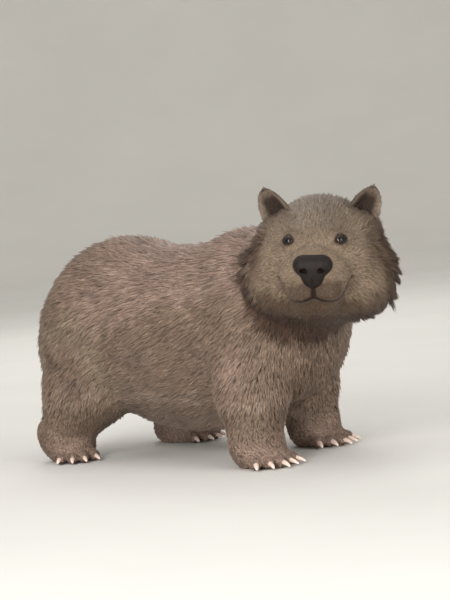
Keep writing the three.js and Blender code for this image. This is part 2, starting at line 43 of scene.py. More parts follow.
# A common wombat in its coat, life size. The forms are worked out in millimetres in the part's own
# frame, x from rump to chest, y to the animal's left, z up, and moved by originShift into metres.
originShift = np.array([-19.0, 7.0, 0.0])
sides = {"left": 1, "right": -1}  # the sign of y, called s further down

stance = {
    "headAt": (309, -52, 335), "headTurn": -54, "headNod": -9, "headTilt": -4,  # mm and degrees
    "feet": {"front_right": (198, -114, -12), "front_left": (130, 98, -2),  # x, y and turn
             "hind_right": (-244, -124, -36), "hind_left": (-190, 106, 2)},
    "tail": ((-336, 0, 246), (-370, 0, 218), 18, 9),  # root, tip and their radii
}


def toMetres(p):
    return (np.asarray(p, float) + originShift) / 1000


def smooth(low, high, x):
    t = np.clip((x - low) / (high - low), 0, 1)
    return t * t * (3 - 2 * t)


def mixed(a, b, share):
    return a + (b - a) * share


def unit(v):
    return v / np.maximum(np.linalg.norm(v, axis=-1, keepdims=True), 1e-9)


def farFrom(p, place):
    return np.linalg.norm(p - np.asarray(place), axis=1)


def frameAt(place, turn, nod=0, tilt=0):
    spin = (Matrix.Rotation(math.radians(turn), 4, "Z") @ Matrix.Rotation(math.radians(-nod), 4, "Y")
            @ Matrix.Rotation(math.radians(tilt), 4, "X"))
    return np.array(Matrix.Translation(place) @ spin)


def applied(matrix, p):
    return np.asarray(p, float) @ matrix[:3, :3].T + matrix[:3, 3]


def into(matrix, p):
    return (np.asarray(p, float) - matrix[:3, 3]) @ matrix[:3, :3]


headFrame = frameAt(stance["headAt"], stance["headTurn"], stance["headNod"], stance["headTilt"])


def headPoint(x, y, z):
    return applied(headFrame, (x, y, z))


# Shapes as distance fields: each takes rows of points and gives their distances, less than 0 inside
def ellipsoid(centre, size):
    centre, size = np.array(centre, float), np.array(size, float)

    def shape(p):
        q = (p - centre) / size
        reach = np.sqrt((q * q).sum(1))
        slope = np.sqrt(((q / size) ** 2).sum(1))
        return np.where(slope < 1e-9, -size.min(), reach * (reach - 1) / np.maximum(slope, 1e-9))
    return shape


def roundCone(a, b, ra, rb):
    a, b = np.array(a, float), np.array(b, float)
    length = np.linalg.norm(b - a)
    way = (b - a) / length
    lean = (ra - rb) / length
    rise = math.sqrt(1 - lean * lean)

    def shape(p):
        q = p - a
        along = q @ way
        off = np.sqrt(np.maximum(0, (q * q).sum(1) - along * along))
        t = np.clip(along + off * lean / rise, 0, length)
        return np.hypot(along - t, off) - (ra + (rb - ra) * t / length)
    return shape


def softMin(d, e, soft):
    h = np.maximum(soft - np.abs(d - e), 0) / soft
    return np.minimum(d, e) - h ** 3 * soft / 6


def softMax(d, e, soft):
    return -softMin(-d, -e, soft)


def blend(soft, *shapes):
    def shape(p):
        d = shapes[0](p)
        for one in shapes[1:]:
            d = softMin(d, one(p), soft)
        return d
    return shape


def placed(matrix, shape):
    return lambda p: shape(into(matrix, p))


def within(low, high, shape):  # worked out only in a box, outside it the shape counts as far away
    def local(p):
        near = ((p > low) & (p < high)).all(1)
        d = np.full(len(p), 400.0)
        d[near] = shape(p[near])
        return d
    return local


softness = {"trunk": 56, "toes": 5, "foot": 12, "shank": 34, "leg": 26, "skull": 26, "lips": 10,
            "neck": 50, "body": 42, "tail": 10}  # how widely two forms melt together


def both(make):
    return [make(s) for s in sides.values()]


def trunkField():
    middle = [
        ellipsoid((-20, 0, 228), (258, 146, 128)),  # barrel
        ellipsoid((-30, 0, 170), (232, 130, 125)),  # belly
        ellipsoid((-192, 0, 242), (158, 138, 134)),  # rump
        ellipsoid((122, 0, 256), (136, 114, 124)),  # withers
        ellipsoid((172, 0, 204), (92, 94, 106)),  # breast
    ]
    haunches = both(lambda s: ellipsoid((-220, s * 80, 188), (106, 74, 116)))
    shoulders = both(lambda s: ellipsoid((154 - s * 8, s * 68, 216), (80, 62, 114)))  # left one further back
    return blend(softness["trunk"], *middle, *haunches, *shoulders)


feet = {  # the fan of the toes is in degrees, the palm is its centre and half sizes
    "front": {"toes": 5, "fan": 60, "reach": 55, "spread": 66, "palm": ((-5, 0, 22), (42, 40, 30))},
    "hind": {"toes": 4, "fan": 44, "reach": 56, "spread": 54, "palm": ((-17, 0, 20), (58, 37, 28))},
    "toeRadii": (13, 10.5),
}


def toeTips(kind):
    size = feet[kind]
    toes = []
    for i in range(size["toes"]):
        share = i / (size["toes"] - 1) - 0.5  # the outer toes are shorter
        angle = math.radians(size["fan"] * share)
        reach = size["reach"] - 30 * abs(share)
        side = size["spread"] * share
        tip = (reach * math.cos(angle), side + 6 * math.sin(angle), feet["toeRadii"][1])
        toes.append(((10, side * 0.62, 17), tip, angle))
    return toes


def footField(kind):
    toes = [roundCone(root, tip, *feet["toeRadii"]) for root, tip, angle in toeTips(kind)]
    return blend(softness["foot"], ellipsoid(*feet[kind]["palm"]), blend(softness["toes"], *toes))


def footFrame(name):
    x, y, turn = stance["feet"][name]
    return frameAt((x, y, 0), turn)


def legField(name):
    kind, side = name.split("_")
    s = sides[side]
    x, y, turn = stance["feet"][name]
    if kind == "front":
        bones = (roundCone((157 - s * 9, s * 72, 220), (x - 22, s * 100, 124), 66, 58),
                 roundCone((x - 22, s * 100, 124), (x - 9, y, 46), 58, 46))
    else:
        bones = (roundCone((-214, s * 76, 200), (x + 16, s * 102, 122), 92, 70),
                 roundCone((x + 16, s * 102, 122), (x - 18, y, 46), 67, 49))
    foot = within((-120, -95, -60), (120, 95, 100), footField(kind))
    return blend(softness["leg"], blend(softness["shank"], *bones), placed(footFrame(name), foot))


def headField():
    cheeks = [shape for s in sides.values() for shape in (
        ellipsoid((0, s * 61, -35), (74, 55, 63)),  # jowl
        ellipsoid((30, s * 48, 0), (54, 40, 44)),  # cheekbone
        ellipsoid((-14, s * 46, 20), (60, 38, 42)))]  # temple
    skull = blend(
        softness["skull"],
        ellipsoid((-16, 0, 8), (90, 93, 65)),  # braincase
        ellipsoid((34, 0, 18), (66, 62, 48)),  # forehead
        roundCone((20, 0, 26), (94, 0, 3), 46, 32),  # bridge
        roundCone((88, 18, -14), (88, -18, -14), 38, 38),  # muzzle
        roundCone((78, 14, -54), (78, -14, -54), 26, 26),  # chin
        ellipsoid((-14, 0, -56), (86, 89, 57)),  # throat
        *cheeks)
    lipPads = both(lambda s: ellipsoid((101, s * 20, -36), (27, 28, 21)))
    return blend(softness["lips"], skull, *lipPads)


headShape = placed(headFrame, within((-210, -200, -200), (230, 200, 200), headField()))
neckShape = blend(softness["neck"],
                  roundCone((158, 0, 262), headPoint(-40, 0, 0), 105, 80),  # nape
                  roundCone((166, 0, 216), headPoint(-30, 0, -44), 86, 62))  # throat
bodyParts = {"trunk": trunkField(), "neck": neckShape}
bodyParts.update({name: legField(name) for name in stance["feet"]})
bodyParts["head"] = headShape
tailShape = roundCone(*stance["tail"])
wombat = blend(softness["tail"], blend(softness["body"], *bodyParts.values()), tailShape)


def gradient(field, p, step=0.4):
    slope = np.empty_like(p)
    for n in range(3):
        shift = np.zeros(3)
        shift[n] = step
        slope[:, n] = (field(p + shift) - field(p - shift)) / (2 * step)
    return slope


def pulledOn(field, p, limit=50.0, rounds=3):
    p = np.array(p, float).reshape(-1, 3)
    for _ in range(rounds):
        slope = gradient(field, p)
        steep = np.maximum(np.linalg.norm(slope, axis=1), 0.2)
        move = np.clip(field(p) / steep, -limit, limit)
        p = p - slope / steep[:, None] * move[:, None]
    return p


# Patterns that look random and repeat each run: a few waves in seeded directions, mostly from -1 to 1
def wander(p, size, seed, waves=7):
    draw = np.random.default_rng(seed)
    total = np.zeros(len(p))
    for _ in range(waves):
        way = unit(draw.normal(size=3)) * 2 * math.pi / (size * draw.uniform(0.6, 1.6))
        total += np.sin(p @ way + draw.uniform(0, 6.3))
    return total / math.sqrt(waves)


# The face: eye sockets under lids, the line of the mouth, and shallow folds
eye = {"radius": 10.2, "lid": 2.1, "bedDepth": 0.7, "at": (64, 27, 28), "depth": 5.6, "nodShare": 0.6,
       "opening": ((10.7, -2.5), (11.5, 4.9)), "slant": 7}  # radius and height of the almond's two arcs


def eyeFrameOf(s):
    x, y, z = eye["at"]
    spot = pulledOn(headShape, headPoint(x, s * y, z))
    way = unit(gradient(headShape, spot, 0.5))[0]
    turn = math.degrees(math.atan2(way[1], way[0]))
    nod = math.degrees(math.asin(way[2]))
    return frameAt(spot[0] - way * eye["depth"], turn, nod * eye["nodShare"])


eyeFrames = {s: eyeFrameOf(s) for s in sides.values()}


def lidGap(s, p):  # distance from the almond between the lids, measured across the way the eye looks
    q = into(eyeFrames[s], p)
    z = q[:, 2] - q[:, 1] * s / eye["slant"]
    upper, lower = (np.hypot(q[:, 1], z - middle) - radius for radius, middle in eye["opening"])
    return np.maximum(np.maximum(upper, lower), 2 - q[:, 0])


def fromEye(s, p):
    return farFrom(p, eyeFrames[s][:3, 3])


def chain(points, radii):  # a tube through a few points
    cones = [roundCone(a, b, ra, rb) for a, b, ra, rb in zip(points, points[1:], radii, radii[1:])]

    def shape(p):
        d = cones[0](p)
        for one in cones[1:]:
            d = np.minimum(d, one(p))
        return d
    return shape


mouth = {"steps": 10, "middle": 74, "reach": 50, "halfWidth": 53, "angle": 84,  # an arc round the muzzle
         "height": -45, "sag": 11, "sagTo": 0.72, "smile": 27, "radii": [1.9] * 9 + [1.6, 0.9],
         "split": ((132, 0, -18), (130, 0, -30), (126, 0, -45)), "splitRadius": 1.4}


def mouthPath(s):
    spots = []
    for i in range(mouth["steps"] + 1):
        t = i / mouth["steps"]
        angle = math.radians(mouth["angle"] * t)
        sag = mouth["sag"] * math.sin(math.pi * min(t / mouth["sagTo"], 1))
        spots.append(headPoint(mouth["middle"] + mouth["reach"] * math.cos(angle),
                               s * mouth["halfWidth"] * math.sin(angle),
                               mouth["height"] - sag + mouth["smile"] * t ** 3))
    return pulledOn(headShape, spots)


lipSplit = chain(pulledOn(headShape, [headPoint(*place) for place in mouth["split"]]),
                 [mouth["splitRadius"]] * 3)
mouthLines = both(lambda s: chain(mouthPath(s), mouth["radii"])) + [lipSplit]
noseBulk = placed(headFrame, blend(10, roundCone((119, -15, 8), (119, 15, 8), 16, 16),
                                   ellipsoid((117, 0, -7), (18.5, 21, 22))))


foldRows = [  # points in the head's frame, then depth and width
    (((70, 20, 44), (60, 34, 46), (48, 46, 38), (40, 52, 26)), 1.5, 4.0),  # brow
    (((70, 38, 20), (62, 47, 19), (52, 55, 22)), 1.4, 2.6),  # from the eye's outer corner
    (((98, 8, 34), (98, 24, 22), (94, 38, 2), (84, 46, -16), (74, 54, -30)), 1.8, 4.5),  # round the muzzle
    (((96, 18, 30), (82, 24, 26), (74, 24, 28)), 0.8, 3.0),  # beside the bridge
]


def foldLine(s, path):
    return chain(pulledOn(headShape, [headPoint(x, s * y, z) for x, y, z in path]), [0.5] * len(path))


folds = [(foldLine(s, path), depth, width) for s in sides.values() for path, depth, width in foldRows]


def mouthGap(p):
    return np.minimum.reduce([line(p) for line in mouthLines])


floorGap = 0.8


# How deep the coat is over the skin
def coatDepth(p):
    h = into(headFrame, p)
    fromNose = farFrom(h, (118, 0, -4))
    onHead = 1.0 + 2.0 * smooth(26, 62, fromNose) + 3.6 * smooth(60, 128, fromNose)
    headShare = 1 - smooth(125, 175, farFrom(h, (10, 0, -10)))
    onBody = 2.2 + 7.2 * smooth(18, 140, p[:, 2])
    depth = mixed(onBody, onHead, headShare)
    for s in sides.values():
        depth = mixed(0.4, depth, smooth(12, 34, fromEye(s, p)))
    return depth


def plainSkin(p):
    return np.maximum(wombat(p) + coatDepth(p), floorGap - p[:, 2])


def fineSkin(p):
    d = plainSkin(p)
    face = farFrom(into(headFrame, p), (70, 0, -6)) < 110
    q = p[face]
    f = d[face]
    for line, depth, width in folds:
        f = f + depth * np.exp(-(line(q) / width) ** 2)
    for s in sides.values():
        r = fromEye(s, q)
        f = softMin(f, r - eye["radius"] - eye["lid"], 5)
        f = softMax(f, -lidGap(s, q), 1.0)
        f = softMin(f, r - eye["radius"] + eye["bedDepth"], 0.6)
    f = softMax(f, -mouthGap(q), 1.6)
    d[face] = f
    return d


# Surface nets: a vertex in each cell of the grid that the surface crosses, joined up in quads
def surfaceNet(field, low, high, cell):
    axes = [np.arange(a, b + cell, cell) for a, b in zip(low, high)]
    value = np.empty([len(axis) for axis in axes])
    y, z = np.meshgrid(axes[1], axes[2], indexing="ij")
    slab = 12
    for i in range(0, len(axes[0]), slab):
        xs = axes[0][i:i + slab]
        rows = [np.column_stack([np.full(y.size, x), y.ravel(), z.ravel()]) for x in xs]
        value[i:i + slab] = field(np.concatenate(rows)).reshape(len(xs), *y.shape)
    inside = value < 0
    corners = [(c & 1, (c >> 1) & 1, (c >> 2) & 1) for c in range(8)]
    cells = [n - 1 for n in value.shape]
    count = sum(inside[tuple(slice(start, start + size) for start, size in zip(a, cells))].astype(np.int8)
                for a in corners)
    spots = np.argwhere((count > 0) & (count < 8))
    number = np.full(cells, -1)
    number[tuple(spots.T)] = np.arange(len(spots))
    total = np.zeros((len(spots), 3))
    crossings = np.zeros(len(spots))
    for a in corners:
        for n in range(3):
            if a[n]:
                continue
            b = tuple(v + (m == n) for m, v in enumerate(a))
            da, db = (value[tuple((spots + c).T)] for c in (a, b))
            crossed = (da < 0) != (db < 0)
            t = np.divide(da, da - db, out=np.zeros_like(da), where=crossed)
            step = np.zeros((len(spots), 3)) + a
            step[:, n] += t
            total += step * crossed[:, None]
            crossings += crossed
    points = (spots + total / crossings[:, None]) * cell + [axis[0] for axis in axes]
    quads = []
    for n in range(3):
        u, v = (n + 1) % 3, (n + 2) % 3
        ahead = [slice(1, -1)] * 3
        ahead[n] = slice(0, -1)
        beyond = list(ahead)
        beyond[n] = slice(1, None)
        here = inside[tuple(ahead)]
        edge = np.argwhere(here != inside[tuple(beyond)])
        first = edge + [0 if m == n else 1 for m in range(3)]
        turned = ~here[tuple(edge.T)]
        ring = []
        for du, dv in ((1, 1), (0, 1), (0, 0), (1, 0)):
            at = first.copy()
            at[:, u] -= du
            at[:, v] -= dv
            ring.append(number[tuple(at.T)])
        ring = np.column_stack(ring)
        ring[turned] = ring[turned][:, ::-1]
        quads.append(ring)
    return points, np.concatenate(quads)


def meshFrom(name, points, faces, inMetres=False):  # faces all have the same number of corners
    points = np.asarray(points if inMetres else toMetres(points), np.float32)
    faces = np.asarray(faces, np.int32)
    mesh = bpy.data.meshes.new(name)
    mesh.vertices.add(len(points))
    mesh.vertices.foreach_set("co", points.ravel())
    mesh.loops.add(faces.size)
    mesh.loops.foreach_set("vertex_index", faces.ravel())
    mesh.polygons.add(len(faces))
    mesh.polygons.foreach_set("loop_start", np.arange(0, faces.size, faces.shape[1], dtype=np.int32))
    mesh.update(calc_edges=True)
    mesh.polygons.foreach_set("use_smooth", np.ones(len(faces), bool))
    return mesh


def newObject(name, data):
    thing = bpy.data.objects.new(name, data)
    bpy.context.scene.collection.objects.link(thing)
    return thing


def pieceFrom(name, mesh, material, slot, *nodes):
    piece = newObject(name, mesh)
    mesh.materials.append(material)
    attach(piece, "root")
    if nodes:
        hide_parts(*nodes)
    return piece


def linear(hexColour):
    parts = np.array([int(hexColour[i:i + 2], 16) / 255 for i in (1, 3, 5)])
    return np.where(parts <= 0.04045, parts / 12.92, ((parts + 0.055) / 1.055) ** 2.4)


def rgba(hexColour):
    return (*linear(hexColour), 1)


# Markings of the coat, with painted highlights and painted shade among them, the same for the skin and the
# tufts
coatHues = {
    "back": "#917a6d", "flank": "#7f6b5c", "belly": "#9a8576", "thigh": "#857463", "leg": "#7b6859",
    # spot and foot are painted highlights, crease is painted shade in a fold
    "spot": "#8f776a", "foot": "#927b6d", "creaseShade": "#54453a", "whisker": "#4a3c32",
    # crown, muzzle, cheek, chin and jaw are painted shade on the head
    "face": "#84725f", "crown": "#6f6050", "muzzle": "#534234", "cheek": "#665243", "chinShade": "#5a4736",
    "jawShade": "#4a362a", "earRim": "#7f6f60", "earInside": "#382921",
    "sole": "#3a2c25", "lid": "#241a15", "lip": "#24170f",
}
hue = {name: linear(value) for name, value in coatHues.items()}

# How far each marking, painted highlight and painted shade reaches, in mm: smooth() takes it from none at the
# first value to all at the second
reaches = {
    "border": (-6, 6), "back": (-270, -60), "belly": (104, 130), "thigh": (40, 62), "thighEnd": (84, 100),
    "leg": (95, 125), "legSide": (50, 80), "spot": (14, 38), "legHighlightSide": (100, 125), "foot": (34, 66),
    "head": (118, 140), "crown": (32, 74), "lips": (-12, -28), "lipSide": (40, 58), "lipFront": (58, 76),
    "beside": (62, 80), "cheek": (62, 34), "cheekTop": (60, 30), "shadeBehind": (40, 16), "behindSide": (52, 76),
    "behindEnd": (-72, -36), "behindTop": (56, 24), "under": (-56, -78), "chinShade": (-32, -54),
    "lid": (0.6, 4.5), "mouth": (1.2, 4.6), "corner": (24, 46), "noseBed": (-1.5, 0.3), "sole": (1.5, 4),
}

thighFoldShadeLine = chain([np.array(p, float) for p in (  # painted shade along the fold where the thigh meets the belly, on the animal's left
    (-246, 150, 206), (-222, 152, 180), (-190, 145, 149), (-161, 107, 111))], [0.5] * 4)


def marked(name, distance):
    return smooth(*reaches[name], distance)


def towards(colour, name, share):
    return mixed(colour, hue[name], share[:, None])


def bodyHues(p, jag):  # jag makes the borders uneven, as tufts do
    x, y, z = p.T
    colour = np.tile(hue["flank"], (len(p), 1))
    border = 246 + 0.26 * np.clip(x + 35, -110, 120) + jag
    colour = towards(colour, "back", marked("border", z - border) * marked("back", x))
    colour = towards(colour, "belly", 1 - marked("belly", z + 0.5 * jag))
    thigh = np.linalg.norm((p - (-215, 0, 150)) * (1, 0, 0.8), axis=1) + 0.6 * jag
    colour = towards(colour, "thigh", marked("thigh", thigh) * (1 - marked("thighEnd", thigh)) * 0.9)
    colour = towards(colour, "leg", (1 - marked("leg", z + 0.4 * jag)) * marked("legSide", np.abs(y)))
    # painted highlight: a lighter patch on the outer side of the front legs
    spot = np.linalg.norm((p - (178, 0, 156)) * (1, 0, 0.62), axis=1) + 0.3 * jag
    colour = towards(colour, "spot", (1 - marked("spot", spot)) * marked("legHighlightSide", np.abs(y)) * 0.8)
    # painted highlight: the feet lighter near the floor
    colour = towards(colour, "foot", (1 - marked("foot", z + 0.3 * jag)) * 0.9)
    # painted shade: a dark line along the thigh's fold
    fold = thighFoldShadeLine(np.column_stack([x, np.abs(y), z]))
    return towards(colour, "creaseShade", 0.8 * np.exp(-(fold / 6) ** 2))


def faceHues(h, tufted):
    x, y, z = h[:, 0], np.abs(h[:, 1]), h[:, 2]
    face = np.tile(hue["face"], (len(h), 1))
    # painted shade: the top of the head darker, against the light from above
    face = towards(face, "crown", marked("crown", z) * 0.8)
    # painted shade: the lower part of the muzzle darker
    lips = marked("lips", z + 0.5 * tufted) * (1 - marked("lipSide", y + tufted))
    face = towards(face, "muzzle", lips * marked("lipFront", x) * 0.9)
    # painted shade on the rear of the cheeks
    cheek = marked("cheek", x + 1.4 * tufted) * marked("beside", y) * marked("cheekTop", z)
    face = towards(face, "cheek", cheek * 0.75)
    # painted shade: a dark band behind the cheeks and under the jaw, and a darker chin
    shadeBehind = marked("shadeBehind", x + tufted) * marked("behindSide", y) * marked("behindEnd", x)
    under = marked("under", z + tufted + 0.22 * x)
    face = towards(face, "chinShade", marked("chinShade", z + tufted + 0.12 * x) * 0.85)
    return towards(face, "jawShade", np.maximum(shadeBehind * 0.92 * marked("behindTop", z), under))


def lidHues(colour, p):
    for s in sides.values():
        near = fromEye(s, p) < 40
        rim = np.zeros(len(p))
        rim[near] = 1 - marked("lid", lidGap(s, p[near]))
        colour = towards(colour, "lid", rim * 0.9)
    return colour


def muzzleHues(colour, p, h):  # the line of the mouth, the bed of the nose pad, and painted shade along the folds
    near = farFrom(h, (112, 0, -6)) < 110
    q = p[near]
    lips, bed, foldShade = np.zeros((3, len(p)))
    corner = 2.2 * marked("corner", np.abs(h[near, 1]))  # wider there, where longer hairs cover it
    lips[near] = 1 - marked("mouth", mouthGap(q) - corner)
    colour = towards(colour, "lip", lips * 0.95)
    bed[near] = 1 - marked("noseBed", noseBulk(q))
    colour = towards(colour, "lid", bed)
    # painted shade along the face's folds, in the chin's dark tone
    foldShade[near] = np.maximum.reduce(
        [depth / 1.8 * np.exp(-(line(q) / 2.6) ** 2) for line, depth, width in folds])
    return towards(colour, "chinShade", foldShade * 0.6)


def coatColour(p, n, ear=None):
    h = into(headFrame, p)
    jag = 13 * wander(p * (1, 1, 0.35), 34, 5) + 9 * wander(p * (1, 1, 0.3), 13, 6)
    tufted = 0.5 * jag + 3 * wander(p, 9, 12)
    onHead = 1 - marked("head", farFrom(h, (10, 0, -14)) + 0.4 * jag)
    colour = mixed(bodyHues(p, jag), faceHues(h, tufted), onHead[:, None])
    colour = muzzleHues(lidHues(colour, p), p, h)
    colour = towards(colour, "sole", (1 - marked("sole", p[:, 2])) * smooth(-0.5, -0.8, n[:, 2]))
    if ear is not None:  # 1 deep inside the cup, 0 on its rim and its back
        colour = towards(np.tile(hue["earRim"], (len(p), 1)), "earInside", ear)
    blotch = 1 + 0.06 * wander(p, 60, 8) + 0.05 * wander(p, 17, 9)
    return np.clip(colour * blotch[:, None], 0, 1)


# Node materials
def addNode(tree, kind, settings=None, **links):
    node = tree.nodes.new(kind)
    for key, value in (settings or {}).items():
        if key in node.inputs:
            node.inputs[key].default_value = value
        else:
            setattr(node, key, value)
    for key, source in links.items():
        tree.links.new(source, node.inputs[key.replace("_", " ")])
    return node


def newMaterial(name, settings):
    material = bpy.data.materials.new(name)
    material.use_nodes = True
    tree = material.node_tree
    tree.nodes.clear()
    shader = addNode(tree, "ShaderNodeBsdfPrincipled", settings)
    addNode(tree, "ShaderNodeOutputMaterial", Surface=shader.outputs["BSDF"])
    return material, tree, shader


def objectSpots(tree):
    return addNode(tree, "ShaderNodeTexCoord").outputs["Object"]


def noiseOf(tree, spots, size, detail=3.0):  # size in metres
    return addNode(tree, "ShaderNodeTexNoise", {"Scale": 1 / size, "Detail": detail, "Roughness": 0.55},
                   Vector=spots).outputs["Fac"]


def ramp(tree, value, low, high, darkest, lightest):
    return addNode(tree, "ShaderNodeMapRange", {"From Min": low, "From Max": high, "To Min": darkest,
                                                "To Max": lightest}, Value=value).outputs["Result"]


def mottle(tree, noise, darkest, lightest):  # noise mostly lies from 0.3 to 0.7
    return ramp(tree, noise, 0.3, 0.7, darkest, lightest)


def timesColour(tree, colour, grey):
    mixer = addNode(tree, "ShaderNodeMix", {"data_type": "RGBA", "blend_type": "MULTIPLY"})
    mixer.inputs[0].default_value = 1.0
    tree.links.new(colour, mixer.inputs[6])
    tree.links.new(grey, mixer.inputs[7])
    return mixer.outputs[2]


def attributeOf(tree, name, output="Fac"):
    return addNode(tree, "ShaderNodeAttribute", {"attribute_name": name}).outputs[output]


def toned(tree, value, *stops):  # each stop has its place, from 0 to 1, and a hex colour
    node = addNode(tree, "ShaderNodeValToRGB", Fac=value)
    marks = node.color_ramp.elements
    marks[0].position, marks[1].position = stops[0][0], stops[-1][0]
    for place, shade in stops[1:-1]:
        marks.new(place)
    for mark, (place, shade) in zip(marks, stops):
        mark.color = rgba(shade)
    return node.outputs["Color"]


def bumped(tree, shader, height, strength, distance, invert=False):
    settings = {"Strength": strength, "Distance": distance, "invert": invert}  # distance in metres
    bump = addNode(tree, "ShaderNodeBump", settings, Height=height)
    tree.links.new(bump.outputs["Normal"], shader.inputs["Normal"])


def coatMaterial():
    # Coarse guard hair, dry and unwashed: matt, with a faint sheen where many strands catch the light
    material, tree, shader = newMaterial("guardHairDry", {
        "Roughness": 0.62, "Specular IOR Level": 0.28, "Sheen Weight": 0.04, "Sheen Roughness": 0.5})
    spots = objectSpots(tree)
    colour = attributeOf(tree, "coatColour", "Color")
    strands = noiseOf(tree, spots, 0.0022)  # single strands, about 2 mm apart
    colour = timesColour(tree, colour, mottle(tree, strands, 0.84, 1.14))
    patches = noiseOf(tree, spots, 0.045, 2.0)  # dusty patches, 45 mm
    colour = timesColour(tree, colour, mottle(tree, patches, 0.94, 1.06))
    tree.links.new(colour, shader.inputs["Base Color"])
    return material


def skinMaterial():
    # Skin under the coat, felted with short underfur: dark, matt, with a fine fibrous grain
    material, tree, shader = newMaterial("underfurSkin", {
        "Roughness": 0.8, "Specular IOR Level": 0.2, "Sheen Weight": 0.03})
    grain = noiseOf(tree, objectSpots(tree), 0.0016, 4.0)
    colour = attributeOf(tree, "coatColour", "Color")
    colour = timesColour(tree, colour, mottle(tree, grain, 0.75, 1.15))
    tree.links.new(colour, shader.inputs["Base Color"])
    bumped(tree, shader, grain, 0.5, 0.0006)
    return material


guardHair = coatMaterial()
underfur = skinMaterial()


def colourVertices(mesh, colours):
    layer = mesh.color_attributes.new("coatColour", "FLOAT_COLOR", "POINT")
    rows = np.ones((len(colours), 4), np.float32)
    rows[:, :3] = colours
    layer.data.foreach_set("color", rows.ravel())


def valueVertices(mesh, name, values):
    layer = mesh.attributes.new(name, "FLOAT", "POINT")
    layer.data.foreach_set("value", np.asarray(values, np.float32))


# The skin: one net, made finer over the head, the face and the eyelids
skin = {"cell": 5.6, "low": (-404, -196, -8), "high": (420, 192, 452), "quickCell": 1.3,
        "headAt": (20, 0, -6), "headReach": 128, "faceAt": (84, 0, -4), "faceReach": 76, "lidReach": 21,
        "shade": 0.8}  # the skin is darker than its coat


def skinMesh():
    cell = skin["cell"] * 1
    points, quads = surfaceNet(plainSkin, skin["low"], skin["high"], cell)
    points = pulledOn(plainSkin, points, cell * 0.6, 2)
    net = bmesh.new()
    start = meshFrom("net", points, quads, True)
    net.from_mesh(start)
    bpy.data.meshes.remove(start)
    print("skin net", len(quads))

    def finer(far, limit, field):
        middles = np.array([f.calc_center_median() for f in net.faces])
        chosen = far(middles) < limit
        net.faces.ensure_lookup_table()
        edges = {e for f, pick in zip(net.faces, chosen) if pick for e in f.edges}
        bmesh.ops.subdivide_edges(net, edges=list(edges), cuts=1, use_grid_fill=True)
        spots = np.array([v.co for v in net.verts])
        spots = pulledOn(field, spots, 3.0, 2)
        for vertex, spot in zip(net.verts, spots):
            vertex.co = spot

    finer(lambda m: farFrom(m, headPoint(*skin["headAt"])), skin["headReach"], plainSkin)
    finer(lambda m: farFrom(m, headPoint(*skin["faceAt"])), skin["faceReach"], fineSkin)
    finer(lambda m: np.minimum(fromEye(1, m), fromEye(-1, m)), skin["lidReach"], fineSkin)
    bmesh.ops.triangulate(net, faces=net.faces[:])
    spots = np.array([v.co for v in net.verts])
    spots = pulledOn(fineSkin, spots, 1.2, 3)
    faces = np.array([[v.index for v in f.verts] for f in net.faces])
    net.free()
    return spots, faces


skinPoints, skinFaces = skinMesh()
print("skin", len(skinFaces), "triangles")


# The ears: leaves that bend into cups, open forwards and outwards, joined to the skin's mesh
ear = {"height": 57.5, "halfWidth": 28.8, "sunk": 15, "rows": 26, "columns": 22, "at": (-22, 64, 50),
       "turn": 20, "back": 10, "outwards": 24,  # degrees
       "cup": (18, 12),  # how deep it is at the root, and how much less at the tip
       "thickness": (4.2, 2.6),  # in the middle, and how much less at the rim
       "ripple": 0.5, "shade": 0.9}


def earFrameOf(s):
    x, y, z = ear["at"]
    lean = frameAt((0, 0, 0), 0, -ear["back"], -s * ear["outwards"])
    return headFrame @ frameAt((x, s * y, z), s * ear["turn"]) @ lean


earFrames = {s: earFrameOf(s) for s in sides.values()}


def earGrid():  # v from root to tip, u from one side to the other
    rows, columns = ear["rows"] + 1, ear["columns"] + 1
    return np.meshgrid(np.linspace(0, 1, rows), np.linspace(-1, 1, columns), indexing="ij")


def earSheet(s, face):
    v, u = earGrid()
    up = -ear["sunk"] + (ear["height"] + ear["sunk"]) * v
    share = np.clip(up / ear["height"], 0, 1)
    halfWidth = np.maximum(ear["halfWidth"] * np.sqrt(1 - share ** 2.6) * (1 - 0.28 * share), 2.2)
    cup = (ear["cup"][0] - ear["cup"][1] * share) * (1 - u * u)
    rim = np.maximum(np.abs(u) ** 3, share ** 2)
    thickness = ear["thickness"][0] - ear["thickness"][1] * rim
    thickness = thickness * np.sqrt(np.maximum(1 - np.abs(u) ** 8, 0.02))
    ripple = ear["ripple"] * np.sin(u * 9) * (1 - share) * (face > 0)  # low ridges of the cup's gristle
    sheet = np.stack([-cup + face * thickness / 2 + ripple, halfWidth * u, up], axis=-1)
    return applied(earFrames[s], sheet.reshape(-1, 3))


def earMesh(s):
    points = np.concatenate([earSheet(s, 1), earSheet(s, -1)])
    half = len(points) // 2
    index = np.arange(half).reshape(ear["rows"] + 1, ear["columns"] + 1)
    a, b, c, d = index[:-1, :-1], index[:-1, 1:], index[1:, 1:], index[1:, :-1]
    front = np.stack([a, b, c, d], axis=-1).reshape(-1, 4)
    back = front[:, ::-1] + half
    border = np.concatenate([index[0, :-1], index[:-1, -1], index[-1, :0:-1], index[:0:-1, 0]])
    ahead = np.roll(border, -1)
    rim = np.column_stack([ahead, border, border + half, ahead + half])
    quads = np.concatenate([front, back, rim])
    faces = np.concatenate([quads[:, [0, 1, 2]], quads[:, [0, 2, 3]]])
    v, u = earGrid()
    cup = (1 - smooth(0.5, 0.86, np.abs(u))) * (1 - smooth(0.66, 0.92, v))
    inside = np.concatenate([cup.ravel(), np.zeros(half)])
    return points, faces, inside


earMeshes = {s: earMesh(s) for s in sides.values()}


def normalsOf(points, faces):
    a, b, c = (points[faces[:, n]] for n in range(3))
    across = np.cross(b - a, c - a)
    normals = np.zeros_like(points)
    for n in range(3):
        np.add.at(normals, faces[:, n], across)
    return unit(normals)


